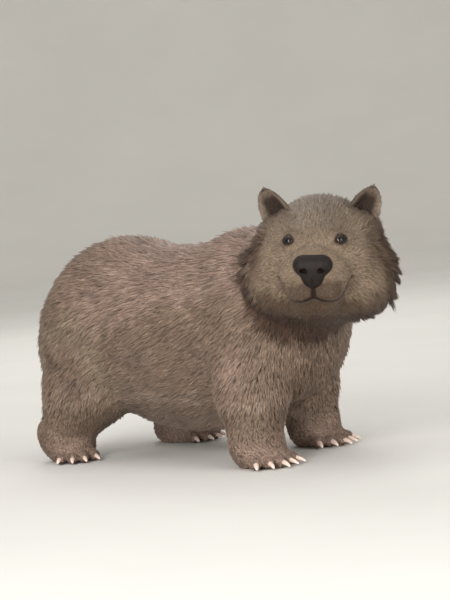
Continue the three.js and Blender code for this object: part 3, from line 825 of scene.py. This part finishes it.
def makeSkin():  # skin and ears in one piece
    points, faces, hues = [skinPoints], [skinFaces], [coatColour(skinPoints, skinNormals)]
    for earPoints, earFaces, inside in earMeshes.values():
        faces.append(earFaces + sum(map(len, points)))
        points.append(earPoints)
        hues.append(coatColour(earPoints, normalsOf(earPoints, earFaces), inside) * ear["shade"])
    mesh = meshFrom("skin", np.concatenate(points), np.concatenate(faces))
    colourVertices(mesh, np.concatenate(hues) * skin["shade"])
    legNodes = ["leg_" + name for name in stance["feet"]]
    pieceFrom("skin", mesh, underfur, "coat_body", "torso", "neck", "tail", "head", "ear_left", "ear_right",
              *legNodes)


skinNormals = unit(gradient(fineSkin, skinPoints))
makeSkin()


# Nose pad: bare, grainy, moist leather with comma nostrils and a groove between them
nose = {
    "cell": 1.4, "grain": 0.0017,  # mm of the net, metres between the pebbles of the grain
    "middle": (118, 0, 0), "room": 38,
    "nostril": ((140, 9.5, -2), (134, 12.5, 1), (128, 17, 3), (124, 24, 5.5), (122, 31, 8)),
    "nostrilRadii": (2.6, 4.6, 4.2, 2.8, 1.6),
    "groove": ((138, 0, 6), (137, 0, -6), (131, 0, -20)), "grooveRadii": (0.5, 0.9, 1.3),
}


def headTube(s, path, radii):
    return placed(headFrame, chain([np.array((x, s * y, z), float) for x, y, z in path], radii))


def nosePadField():
    holes = both(lambda s: headTube(s, nose["nostril"], nose["nostrilRadii"]))
    groove = headTube(1, nose["groove"], nose["grooveRadii"])

    def field(p):
        d = noseBulk(p)
        for hole in holes:
            d = softMax(d, -hole(p), 1.6)
        return softMax(d, -groove(p), 2.0)
    return field


def noseMaterial():
    # Nose leather of a marsupial: fine pebbled grain, slightly moist, so soft broad highlights break up
    material, tree, shader = newMaterial("noseLeather", {"Roughness": 0.5, "Specular IOR Level": 0.2})
    spots = objectSpots(tree)
    pebbles = addNode(tree, "ShaderNodeTexVoronoi", {"Scale": 1 / nose["grain"]}, Vector=spots)
    grain = pebbles.outputs["Distance"]
    tone = toned(tree, noiseOf(tree, spots, 0.012), (0, "#15110e"), (1, "#281f1b"))
    colour = timesColour(tree, tone, ramp(tree, grain, 0.0, 0.8, 1.15, 0.75))
    tree.links.new(colour, shader.inputs["Base Color"])
    bumped(tree, shader, grain, 0.6, 0.0005, True)
    return material


def makeNose():
    middle = headPoint(*nose["middle"])
    field = nosePadField()
    points, quads = surfaceNet(field, middle - nose["room"], middle + nose["room"], nose["cell"])
    points = pulledOn(field, points, nose["cell"] * 0.5, 2)
    pieceFrom("nosePad", meshFrom("nosePad", points, quads), noseMaterial(), "nose_skin", "nose")


makeNose()


# Eyes: glass balls with a clear bulge over the iris
def eyeMaterial():
    # Museum eye of cast glass over a near-black brown iris: mirror-smooth, so the soft boxes show as
    # sharp lights
    material, tree, shader = newMaterial("castGlassEye", {"Roughness": 0.04, "IOR": 1.43})
    tone = toned(tree, attributeOf(tree, "outwards"), (0.3, "#0b0706"), (0.62, "#2c1a10"), (0.84, "#1d110a"),
                 (0.9, "#060404"), (0.93, "#060404"))  # from the white's dark rim over the iris to the pupil
    fibres = mottle(tree, noiseOf(tree, objectSpots(tree), 0.0009), 0.8, 1.2)
    tree.links.new(timesColour(tree, tone, fibres), shader.inputs["Base Color"])
    return material


glassEye = eyeMaterial()
ball = {"around": 48, "bands": 32, "bulge": 0.045}


def makeEye(name, s):
    net = bmesh.new()
    bmesh.ops.create_uvsphere(net, u_segments=ball["around"], v_segments=ball["bands"], radius=1)
    turned = np.array([v.co for v in net.verts])[:, [2, 0, 1]]  # its poles on the way it looks
    bulge = 1 + ball["bulge"] * smooth(0.55, 0.95, turned[:, 0])
    spots = toMetres(applied(eyeFrames[s], turned * eye["radius"] * bulge[:, None]))
    for vertex, spot in zip(net.verts, spots):
        vertex.co = spot
    bmesh.ops.triangulate(net, faces=net.faces[:])
    bmesh.ops.recalc_face_normals(net, faces=net.faces[:])
    mesh = bpy.data.meshes.new("eyeball_" + name)
    net.to_mesh(mesh)
    net.free()
    mesh.polygons.foreach_set("use_smooth", np.ones(len(mesh.polygons), bool))
    valueVertices(mesh, "outwards", turned[:, 0])
    pieceFrom("eyeball_" + name, mesh, glassEye, "eye_gloss", "eye_" + name)


for name, s in sides.items():
    makeEye(name, s)


# Claws: horn, oval in section, that curves down and wears blunt
claw = {"steps": 16, "around": 14, "rootDepth": 13, "droop": 6.4, "nod": -4, "bend": 1.1, "rise": 1.5,
        "front": (42, 5.2, 4.4), "hind": (38, 4.9, 4.1),  # length, half width and half height
        "keel": 0.1, "overFloor": 0.1, "coreTip": 1.5}


def hornMaterial():
    # Digging claws of keratin: waxy and half gloss, darker at the quick, streaked along and chalky at the tip
    material, tree, shader = newMaterial("clawKeratin", {
        "Roughness": 0.38, "Specular IOR Level": 0.45, "Subsurface Weight": 0.08, "Subsurface Scale": 0.002})
    spots = objectSpots(tree)
    tone = toned(tree, attributeOf(tree, "alongClaw"), (0.28, "#a98b79"), (0.5, "#e4c9b9"), (0.98, "#f0dccf"))
    streaks = mottle(tree, noiseOf(tree, spots, 0.0028), 0.86, 1.08)
    tree.links.new(timesColour(tree, tone, streaks), shader.inputs["Base Color"])
    scratches = noiseOf(tree, spots, 0.0011)
    tree.links.new(mottle(tree, scratches, 0.3, 0.52), shader.inputs["Roughness"])
    bumped(tree, shader, scratches, 0.25, 0.0003)
    return material


horn = hornMaterial()
clawCores = []  # cones inside the claws, which the coat keeps clear of


def makeClaw(node, place, length, halfWidth, halfHeight):
    n = claw["around"]
    turns = np.linspace(0, 2 * math.pi, n, endpoint=False)
    t = np.linspace(0, 1, claw["steps"] + 1)
    thin = np.sqrt(np.maximum(0, 1 - t ** 1.7))
    along = length * np.sin(claw["bend"] * t) - claw["rootDepth"]
    rise = claw["rise"] - claw["droop"] * t * t
    ridge = 1 + claw["keel"] * np.maximum(0, np.sin(turns)) ** 4  # a low keel along the top
    rings = [np.column_stack([np.full(n, along[i]), halfWidth * thin[i] * np.cos(turns),
                              rise[i] + halfHeight * thin[i] * np.sin(turns) * ridge])
             for i in range(claw["steps"])]
    ends = [(along[0], 0, rise[0]), (along[-1], 0, rise[-1])]
    points = applied(place, np.concatenate([ends[:1], *rings, ends[1:]]))
    points[:, 2] = np.maximum(points[:, 2], claw["overFloor"])
    faces = []
    last = len(points) - 1
    for j in range(n):
        k = (j + 1) % n
        faces.append((0, 1 + k, 1 + j))
        for i in range(claw["steps"] - 1):
            a, b = 1 + i * n + j, 1 + i * n + k
            faces += [(a, b, b + n), (a, b + n, a + n)]
        faces.append((last - n + j, last - n + k, last))
    mesh = meshFrom(node + "_horn", points, faces)
    valueVertices(mesh, "alongClaw", np.concatenate([[0], np.repeat(t[:-1], n), [1]]))
    pieceFrom(node + "_horn", mesh, horn, "claw_horn", node)
    root, tip = applied(place, ends)
    clawCores.append(roundCone(root, tip, halfWidth, claw["coreTip"]))


def makeClaws(name):
    kind = name.split("_")[0]
    for number, (root, tip, angle) in enumerate(toeTips(kind), 1):
        place = footFrame(name) @ frameAt(tip, math.degrees(angle), claw["nod"])
        makeClaw(f"claw_{name}_{number}", place, *claw[kind])


for name in stance["feet"]:
    makeClaws(name)
print("nose, eyes and claws made")


# The coat: tufts of guard hair, each a thin closed blade of ten faces that bends along its lie
coat = {
    "spacing": {"trunk": 3.0, "cheek": 2.0, "muzzle": 1.35, "foot": 2.1, "ear": 1.5},
    "length": {"trunk": 27, "belly": 22, "cheek": 15, "crown": 12, "muzzle": 3.2, "leg": 19, "foot": 6.5,
               "ruff": 36, "ear": 7.5, "earInside": 5.5, "tail": 13},
    "width": 1.35, "flat": 0.42,  # shares of the spacing and of the width
    "lift": (34, 15), "sunk": 0.9, "clumpSize": 13.0, "overFloor": 0.25,  # lift in degrees, root and tip
    "quickSpacing": 1.7, "quickWidth": 0.75,
    "perPiece": 19000, "seed": 17, "patch": 0.0015,  # patch is a tuft's half width in the UV map
}


def rootsOn(points, faces, spacing, draw):
    corners = points[faces]
    across = np.cross(corners[:, 1] - corners[:, 0], corners[:, 2] - corners[:, 0])
    area = np.linalg.norm(across, axis=1) / 2
    middles = corners.mean(1)
    share = area / (0.9 * spacing(middles) ** 2)
    total = np.cumsum(share)
    picks = np.searchsorted(total, np.arange(draw.uniform(), total[-1], 1.0))
    u, v = draw.uniform(size=(2, len(picks)))
    over = u + v > 1
    u[over], v[over] = 1 - u[over], 1 - v[over]
    a, b, c = (corners[picks, n] for n in range(3))
    return a + (b - a) * u[:, None] + (c - a) * v[:, None], picks, np.stack([1 - u - v, u, v], axis=1)


def shares(p):  # how much of each part of the body there is at a point
    near = {name: np.exp(-np.clip(shape(p), -2, 200) / 9) for name, shape in bodyParts.items()}
    near["tail"] = np.exp(-np.clip(tailShape(p), -2, 200) / 5)
    total = sum(near.values())
    return {name: value / total for name, value in near.items()}


def ruffShare(h):  # the cheek ruff, from below the ears down to the jaw
    angle = np.degrees(np.arctan2((h[:, 2] + 8) / 88, np.abs(h[:, 1]) / 96))
    around = smooth(-76, -60, angle) * (1 - smooth(36, 50, angle))
    return around * smooth(-52, -34, h[:, 0]) * (1 - smooth(18, 40, h[:, 0]))


def quickly(value):
    return value * 1


def spacingAt(p):
    h = into(headFrame, p)
    onHead = 1 - smooth(118, 150, farFrom(h, (10, 0, -10)))
    room = coat["spacing"]
    face = mixed(room["muzzle"], room["cheek"], smooth(30, 85, farFrom(h, (112, 0, -4))))
    body = mixed(room["foot"], room["trunk"], smooth(30, 110, p[:, 2]))
    return quickly(mixed(body, face, onHead))


def laidOn(ways, normals):  # the same ways, laid flat on the surface
    return unit(ways - normals * (ways * normals).sum(1)[:, None])


def lieAt(p, n, part):
    h = into(headFrame, p)
    spin = headFrame[:3, :3]
    lie = np.zeros_like(p)
    back = np.column_stack([-np.ones(len(p)), np.zeros(len(p)), -0.55 * smooth(-0.7, 0.1, n[:, 2])])
    chest = smooth(215, 275, p[:, 0])[:, None]
    lie += part["trunk"][:, None] * unit(back * (1 - chest) + np.array([-0.4, 0, -1]) * chest)
    lie += part["neck"][:, None] * unit(spin @ (-1, 0, -0.25) + np.array([-0.5, 0, -0.5]))
    fromNose = unit(h - (108, 0, 0))
    side = np.sign(h[:, 1])
    down = smooth(34, 62, np.abs(h[:, 1])) * (1 - smooth(14, 44, h[:, 2])) * (1 - smooth(40, 84, h[:, 0]))
    ruff = np.column_stack([np.full(len(p), -0.36), side * 0.42, np.full(len(p), -0.9)])
    onFace = unit(fromNose * (1 - 0.85 * down[:, None]) + unit(ruff) * 0.85 * down[:, None])
    lie += part["head"][:, None] * (onFace @ spin.T)
    low = (1 - smooth(26, 78, p[:, 2]))[:, None]
    for name, (x, y, turn) in stance["feet"].items():  # down the leg, then along the foot
        s = sides[name.split("_")[1]]
        ahead = np.array([math.cos(math.radians(turn)), math.sin(math.radians(turn)), -0.35])
        shank = unit(np.array([-0.3, 0.1 * s, -1.0])) * (1 - low) + unit(ahead) * low
        lie += part[name][:, None] * shank
    tailWay = np.array(stance["tail"][1], float) - stance["tail"][0]
    lie += part["tail"][:, None] * unit(tailWay)
    for s in sides.values():  # lashes and short hair turn away from the eye
        out = unit(p - eyeFrames[s][:3, 3])
        near = (1 - smooth(11, 20, fromEye(s, p)))[:, None]
        lie = lie * (1 - near) + out * near
    return laidOn(lie, n)


def lengthAt(p, n, part):
    h = into(headFrame, p)
    size = coat["length"]
    trunk = mixed(size["belly"], size["trunk"], smooth(-0.6, 0.2, n[:, 2]))
    leg = mixed(size["foot"], size["leg"], smooth(28, 120, p[:, 2]))
    fromNose = farFrom(h, (118, 0, -2))
    head = mixed(size["muzzle"], size["cheek"], smooth(38, 125, fromNose))
    crown = smooth(10, 45, h[:, 2]) * smooth(50, 90, fromNose)
    head = head + (size["crown"] - head) * crown * 0.6
    head = head + (size["ruff"] - head) * ruffShare(h) * 0.85
    legs = sum(part[name] for name in stance["feet"])
    length = ((part["trunk"] + part["neck"]) * trunk + legs * leg + part["head"] * head
              + part["tail"] * size["tail"])
    for s in sides.values():
        length = mixed(1.8, length, smooth(11, 33, fromEye(s, p)))
    length = mixed(1.6, length, smooth(0.5, 9, noseBulk(p)))
    near = fromNose < 110
    gap = np.full(len(p), 99.0)
    gap[near] = mouthGap(p[near])
    length = mixed(2.0, length, smooth(1, 14, gap))
    return mixed(2.5, length, smooth(1, 9, clawGap(p)))


def clawGap(p):
    return np.minimum.reduce([core(p) for core in clawCores])


def bareAt(p, n):
    bare = noseBulk(p) < 0.6
    near = farFrom(p, headPoint(90, 0, -20)) < 110
    bare[near] |= mouthGap(p[near]) < 1.5
    for s in sides.values():
        close = fromEye(s, p) < 30
        bare[close] |= lidGap(s, p[close]) < 1.4
    bare |= clawGap(p) < 0.4
    return bare | ((p[:, 2] < 2.2) & (n[:, 2] < -0.5))


def tuftBlades(roots, normals, lies, lengths, widths, draw, lift, clumpPull):
    n = len(roots)
    across = np.cross(lies, normals)
    swing = np.radians(draw.normal(0, 9, n))[:, None]
    lies = unit(lies * np.cos(swing) + across * np.sin(swing))
    across = unit(np.cross(lies, normals))
    lengths = (lengths * np.exp(draw.normal(0, 0.14, n)))[:, None]
    tilt = draw.normal(0, 4.5, n)[:, None]
    first, second = (np.radians(np.clip(lift[:, k:k + 1] + tilt, 2, 75)) for k in (0, 1))
    middle = roots + lengths * 0.5 * (lies * np.cos(first) + normals * np.sin(first))
    tip = middle + lengths * 0.5 * (lies * np.cos(second) + normals * np.sin(second))
    # tufts lean together into locks: each tip goes part of the way to the tip of the nearest chosen tuft
    room = coat["clumpSize"] * np.clip(lengths[:, 0] / 26, 0.3, 1.2)
    chosen = np.flatnonzero(draw.uniform(size=n) < np.clip((widths / room) ** 2 * 0.8, 0.004, 1))
    chosen = chosen if len(chosen) else np.array([0])
    tree = KDTree(len(chosen))
    for k, at in enumerate(chosen):
        tree.insert(roots[at], k)
    tree.balance()
    leader = chosen[[tree.find(root)[1] for root in roots.tolist()]]
    close = np.linalg.norm(roots[leader] - roots, axis=1) < 2.2 * room
    pull = (clumpPull * close)[:, None]
    tip = tip + (tip[leader] - tip) * pull
    middle = middle + (middle[leader] - middle) * pull * 0.4
    half = (widths / 2)[:, None]
    sunk = roots - normals * coat["sunk"]
    ridge = normals * half * 2 * coat["flat"]
    verts = np.stack([
        sunk - across * half, sunk + across * half, sunk + ridge,
        middle - across * half * 0.8, middle + across * half * 0.8, middle + ridge * 0.8, tip], axis=1)
    verts[:, :, 2] = np.maximum(verts[:, :, 2], coat["overFloor"])
    return verts, leader


bladeFaces = np.array([(0, 1, 2), (0, 4, 1), (0, 3, 4), (1, 5, 2), (1, 4, 5), (2, 3, 0), (2, 5, 3),
                       (3, 6, 4), (4, 6, 5), (5, 6, 3)])


def tuftHues(roots, hues, leader, draw):
    n = len(roots)
    clumpTone = np.exp(draw.normal(0, 0.07, n))[leader]
    tone = np.exp(draw.normal(0, 0.12, n)) * clumpTone
    kind = draw.uniform(size=n)
    dark = np.where(kind < 0.09, 0.62, 1.0)  # dark guard hairs
    pale = np.where(kind > 0.93, 1.45, 1.0)  # bleached tips
    base = hues * (tone * dark)[:, None]
    rows = [base * 0.62] * 3 + [base * 0.95] * 3 + [base * (1.18 * pale)[:, None]]
    return np.clip(np.stack(rows, axis=1), 0, 1)


def unwrapOf(roots, normals):  # the six sides of the skin's own shape, each in a tile of its own
    low, high = roots.min(0), roots.max(0)
    flat = (roots - low) / np.maximum(high - low, 1e-6)
    axis = np.abs(normals).argmax(1)
    tile = axis * 2 + (normals[np.arange(len(normals)), axis] > 0)
    uv = np.empty((len(roots), 2))
    for n in range(3):
        here = axis == n
        uv[here] = flat[here][:, [(n + 1) % 3, (n + 2) % 3]]
    corner = np.column_stack([tile % 3 / 3, tile // 3 / 2])
    return corner + 0.01 + uv * (1 / 3 - 0.02, 1 / 2 - 0.02)


def coatPieces(name, slot, roots, normals, verts, hues):
    order = np.argsort(roots[:, 0] if "Head" not in name else into(headFrame, roots)[:, 1], kind="stable")
    pieces = max(1, math.ceil(len(order) / coat["perPiece"]))
    offsets = np.array([(-1, -1), (1, -1), (0, -1), (-0.8, 0), (0.8, 0), (0, 0), (0, 1)]) * coat["patch"]
    for number, chosen in enumerate(np.array_split(order, pieces), 1):
        title = name if pieces == 1 else f"{name}_{number}"
        count = len(chosen)
        faces = (bladeFaces[None] + np.arange(count)[:, None, None] * 7).reshape(-1, 3)
        mesh = meshFrom(title, verts[chosen].reshape(-1, 3), faces)
        colourVertices(mesh, hues[chosen].reshape(-1, 3))
        uv = (unwrapOf(roots[chosen], normals[chosen])[:, None] + offsets[None]).reshape(-1, 2)
        layer = mesh.uv_layers.new(name="OFBake")
        layer.data.foreach_set("uv", uv[faces.ravel()].astype(np.float32).ravel())
        own = normalsOf(verts[chosen].reshape(-1, 3), faces)
        soft = unit(np.repeat(normals[chosen], 7, axis=0) * 0.7 + own * 0.5)
        mesh.normals_split_custom_set_from_vertices(soft.astype(np.float32))
        pieceFrom(title, mesh, guardHair, slot)
    print(name, len(order), "tufts in", pieces, "pieces")


whisker = {"rows": (-17, -25, -33), "perRow": 3, "length": 42.0, "width": 0.6, "lift": (36, 10)}


def growWhiskers():
    draw = np.random.default_rng(coat["seed"] + 2)
    spots, ways = [], []
    for s in sides.values():
        for row in whisker["rows"]:
            for k in range(whisker["perRow"]):
                spots.append(headPoint(112 - 7 * k, s * (24 + 6 * k), row))
                ways.append(headFrame[:3, :3] @ (-0.3 - 0.12 * k, s * 0.9, 0.02 * (row + 20)))
    roots = pulledOn(plainSkin, spots)
    normals = unit(gradient(plainSkin, roots))
    lies = laidOn(np.array(ways), normals)
    n = len(roots)
    lift = np.tile(np.array(whisker["lift"], float), (n, 1))
    verts, leader = tuftBlades(roots, normals, lies, np.full(n, whisker["length"]),
                               np.full(n, whisker["width"]), draw, lift, np.zeros(n))
    tones = np.array([1, 1, 1, 1.4, 1.4, 1.4, 3.0])[None, :, None]  # paler towards the tip
    return roots, normals, verts, np.tile(hue["whisker"], (n, 7, 1)) * tones


def between(values, faces, picks, weights):  # the mean at each root of values at the corners of its face
    return (values[faces[picks]] * weights.reshape(weights.shape + (1,) * (values.ndim - 1))).sum(1)


def growCoat():
    draw = np.random.default_rng(coat["seed"])
    roots, picks, weights = rootsOn(skinPoints, skinFaces, spacingAt, draw)
    normals = unit(between(skinNormals, skinFaces, picks, weights))
    keep = ~bareAt(roots, normals)
    roots, normals = roots[keep], normals[keep]
    part = shares(roots)
    lies = lieAt(roots, normals, part)
    lengths = lengthAt(roots, normals, part)
    hues = coatColour(roots, normals)
    h = into(headFrame, roots)
    ruff = ruffShare(h) * part["head"]
    lift = np.tile(np.array(coat["lift"], float), (len(roots), 1))
    lift += ruff[:, None] * (2, 6)
    short = 1 - smooth(4, 12, lengths)
    lift -= short[:, None] * (6, 2)
    widths = quickly(coat["width"] * spacingAt(roots))
    verts, leader = tuftBlades(roots, normals, lies, lengths, widths, draw, lift, 0.34 + 0.4 * ruff)
    tones = tuftHues(roots, hues, leader, draw)
    names = list(part)
    most = np.array(names)[np.stack([part[name] for name in names]).argmax(0)]
    isHead = most == "head"
    isLeg = np.isin(most, list(stance["feet"])) & (roots[:, 2] < 170)
    for title, slot, chosen in (("coatHead", "coat_head", isHead), ("coatLegs", "coat_leg", isLeg),
                                ("coatTrunk", "coat_body", ~(isHead | isLeg))):
        rows = [(roots[chosen], normals[chosen], verts[chosen], tones[chosen])]
        if title == "coatHead":
            rows.append(growWhiskers())
        coatPieces(title, slot, *(np.concatenate(column) for column in zip(*rows)))


def growEarCoat():
    draw = np.random.default_rng(coat["seed"] + 1)
    rows = []
    room = quickly(coat["spacing"]["ear"])
    size = coat["length"]
    for s, (points, faces, inside) in earMeshes.items():
        roots, picks, weights = rootsOn(points, faces, lambda m: np.full(len(m), room), draw)
        normals = unit(between(normalsOf(points, faces), faces, picks, weights))
        depth = between(inside, faces, picks, weights)
        local = into(earFrames[s], roots)
        clear = headShape(roots) > -coatDepth(roots) - 1
        roots, normals, depth, local = (a[clear] for a in (roots, normals, depth, local))
        n = len(roots)
        aside = local[:, 1] / ear["halfWidth"]
        ways = np.column_stack([np.full(n, -0.1), 0.5 * aside, np.ones(n)]) @ earFrames[s][:3, :3].T
        lengths = mixed(size["ear"], size["earInside"], depth)
        lengths = lengths * (1 - 0.45 * smooth(0.55, 1.0, local[:, 2] / ear["height"]))
        edge = smooth(0.8, 1.0, np.abs(aside))
        lift = np.column_stack([18 - 6 * depth + 4 * edge, 9 - 4 * depth])
        widths = np.full(n, coat["width"] * room * 0.8)
        verts, leader = tuftBlades(roots, normals, laidOn(ways, normals), lengths, widths, draw, lift,
                                   np.full(n, 0.25))
        tones = tuftHues(roots, coatColour(roots, normals, depth), leader, draw)
        rows.append((roots, normals, verts, tones))
    coatPieces("coatEars", "coat_ear", *(np.concatenate(column) for column in zip(*rows)))


growCoat()
growEarCoat()


# Stage: a pale studio bowl, soft boxes, and the camera at the photo's place
def stageMaterial():
    # Matt painted board, pale and even, with a faint mottle
    material, tree, shader = newMaterial("paleBoard", {"Roughness": 0.85, "Specular IOR Level": 0.2})
    tone = mottle(tree, noiseOf(tree, objectSpots(tree), 0.4), 0.98, 1.02)
    base = addNode(tree, "ShaderNodeRGB")
    base.outputs[0].default_value = rgba("#dcdad5")
    tree.links.new(timesColour(tree, base.outputs[0], tone), shader.inputs["Base Color"])
    return material


stage = {"floorRadius": 6.4, "bendRadius": 3.0, "bendSteps": 12, "wallHeight": 7.5, "around": 96}


def makeStage():
    n, steps = stage["around"], stage["bendSteps"]
    turns = np.linspace(0, 2 * math.pi, n, endpoint=False)
    flat, bend = stage["floorRadius"], stage["bendRadius"]
    profile = [(r, 0.0) for r in (0.6, 1.6, flat)]
    for k in range(1, steps + 1):
        angle = math.pi / 2 * k / steps
        profile.append((flat + bend * math.sin(angle), bend * (1 - math.cos(angle))))
    profile.append((flat + bend, stage["wallHeight"]))
    rings = [np.column_stack([r * np.cos(turns), r * np.sin(turns), np.full(n, z)]) for r, z in profile]
    points = np.concatenate([[(0, 0, 0)], *rings])
    faces = [(0, 1 + j, 1 + (j + 1) % n) for j in range(n)]
    for i in range(len(profile) - 1):
        for j in range(n):
            a, b = 1 + i * n + j, 1 + i * n + (j + 1) % n
            faces += [(a, a + n, b + n), (a, b + n, b)]
    bowl = newObject("studioBowl", meshFrom("studioBowl", points, faces, True))
    bowl.data.materials.append(stageMaterial())


makeStage()

lights = {  # place, size, watts
    "key": ((1.0, -3.4, 1.9), 1.5, 69), "fill": ((3.3, -0.2, 1.0), 2.2, 42),
    "rim": ((-2.3, 1.9, 2.3), 1.6, 28), "top": ((0.1, -0.2, 3.4), 2.4, 9),
    "low": ((1.5, -2.7, 0.32), 0.8, 27),
}


def aimed(thing, place, target=(0, 0, 0.22)):
    way = Vector(target) - Vector(place)
    thing.location = place
    thing.rotation_mode = "QUATERNION"
    thing.rotation_quaternion = way.to_track_quat("-Z", "Y")


for name, (place, size, watts) in lights.items():
    lamp = bpy.data.lights.new(name + "Box", "AREA")
    lamp.shape, lamp.size, lamp.energy = "DISK", size, watts
    aimed(newObject(name + "Box", lamp), place)

studioAir = {"colour": (1.0, 0.99, 0.97, 1), "strength": 0.8}
world = bpy.data.worlds.new("studioAir")
world.use_nodes = True
world.node_tree.nodes["Background"].inputs["Color"].default_value = studioAir["colour"]
world.node_tree.nodes["Background"].inputs["Strength"].default_value = studioAir["strength"]
bpy.context.scene.world = world

view = {"azimuth": 45, "rise": 4, "distance": 4.0, "target": (-0.001, -0.002, 0.24), "focal": 2360,
        "roll": -5.5, "shift": (0.017, 0.022), "imageHeight": 600, "sensor": 36}  # focal in pixels


def makeCamera():
    azimuth, rise = math.radians(view["azimuth"]), math.radians(view["rise"])
    back = Vector((math.sin(azimuth) * math.cos(rise), -math.cos(azimuth) * math.cos(rise), math.sin(rise)))
    camera = newObject("camera", bpy.data.cameras.new("camera"))
    camera.location = Vector(view["target"]) + back * view["distance"]
    camera.rotation_mode = "QUATERNION"
    roll = Quaternion((0, 0, 1), math.radians(view["roll"]))
    camera.rotation_quaternion = (-back).to_track_quat("-Z", "Y") @ roll
    camera.data.sensor_width = view["sensor"]
    camera.data.lens = view["focal"] * view["sensor"] / view["imageHeight"]
    camera.data.shift_x, camera.data.shift_y = view["shift"]
    bpy.context.scene.camera = camera


makeCamera()
bpy.context.scene.view_settings.view_transform = "Standard"
print("stage, lights and camera set")
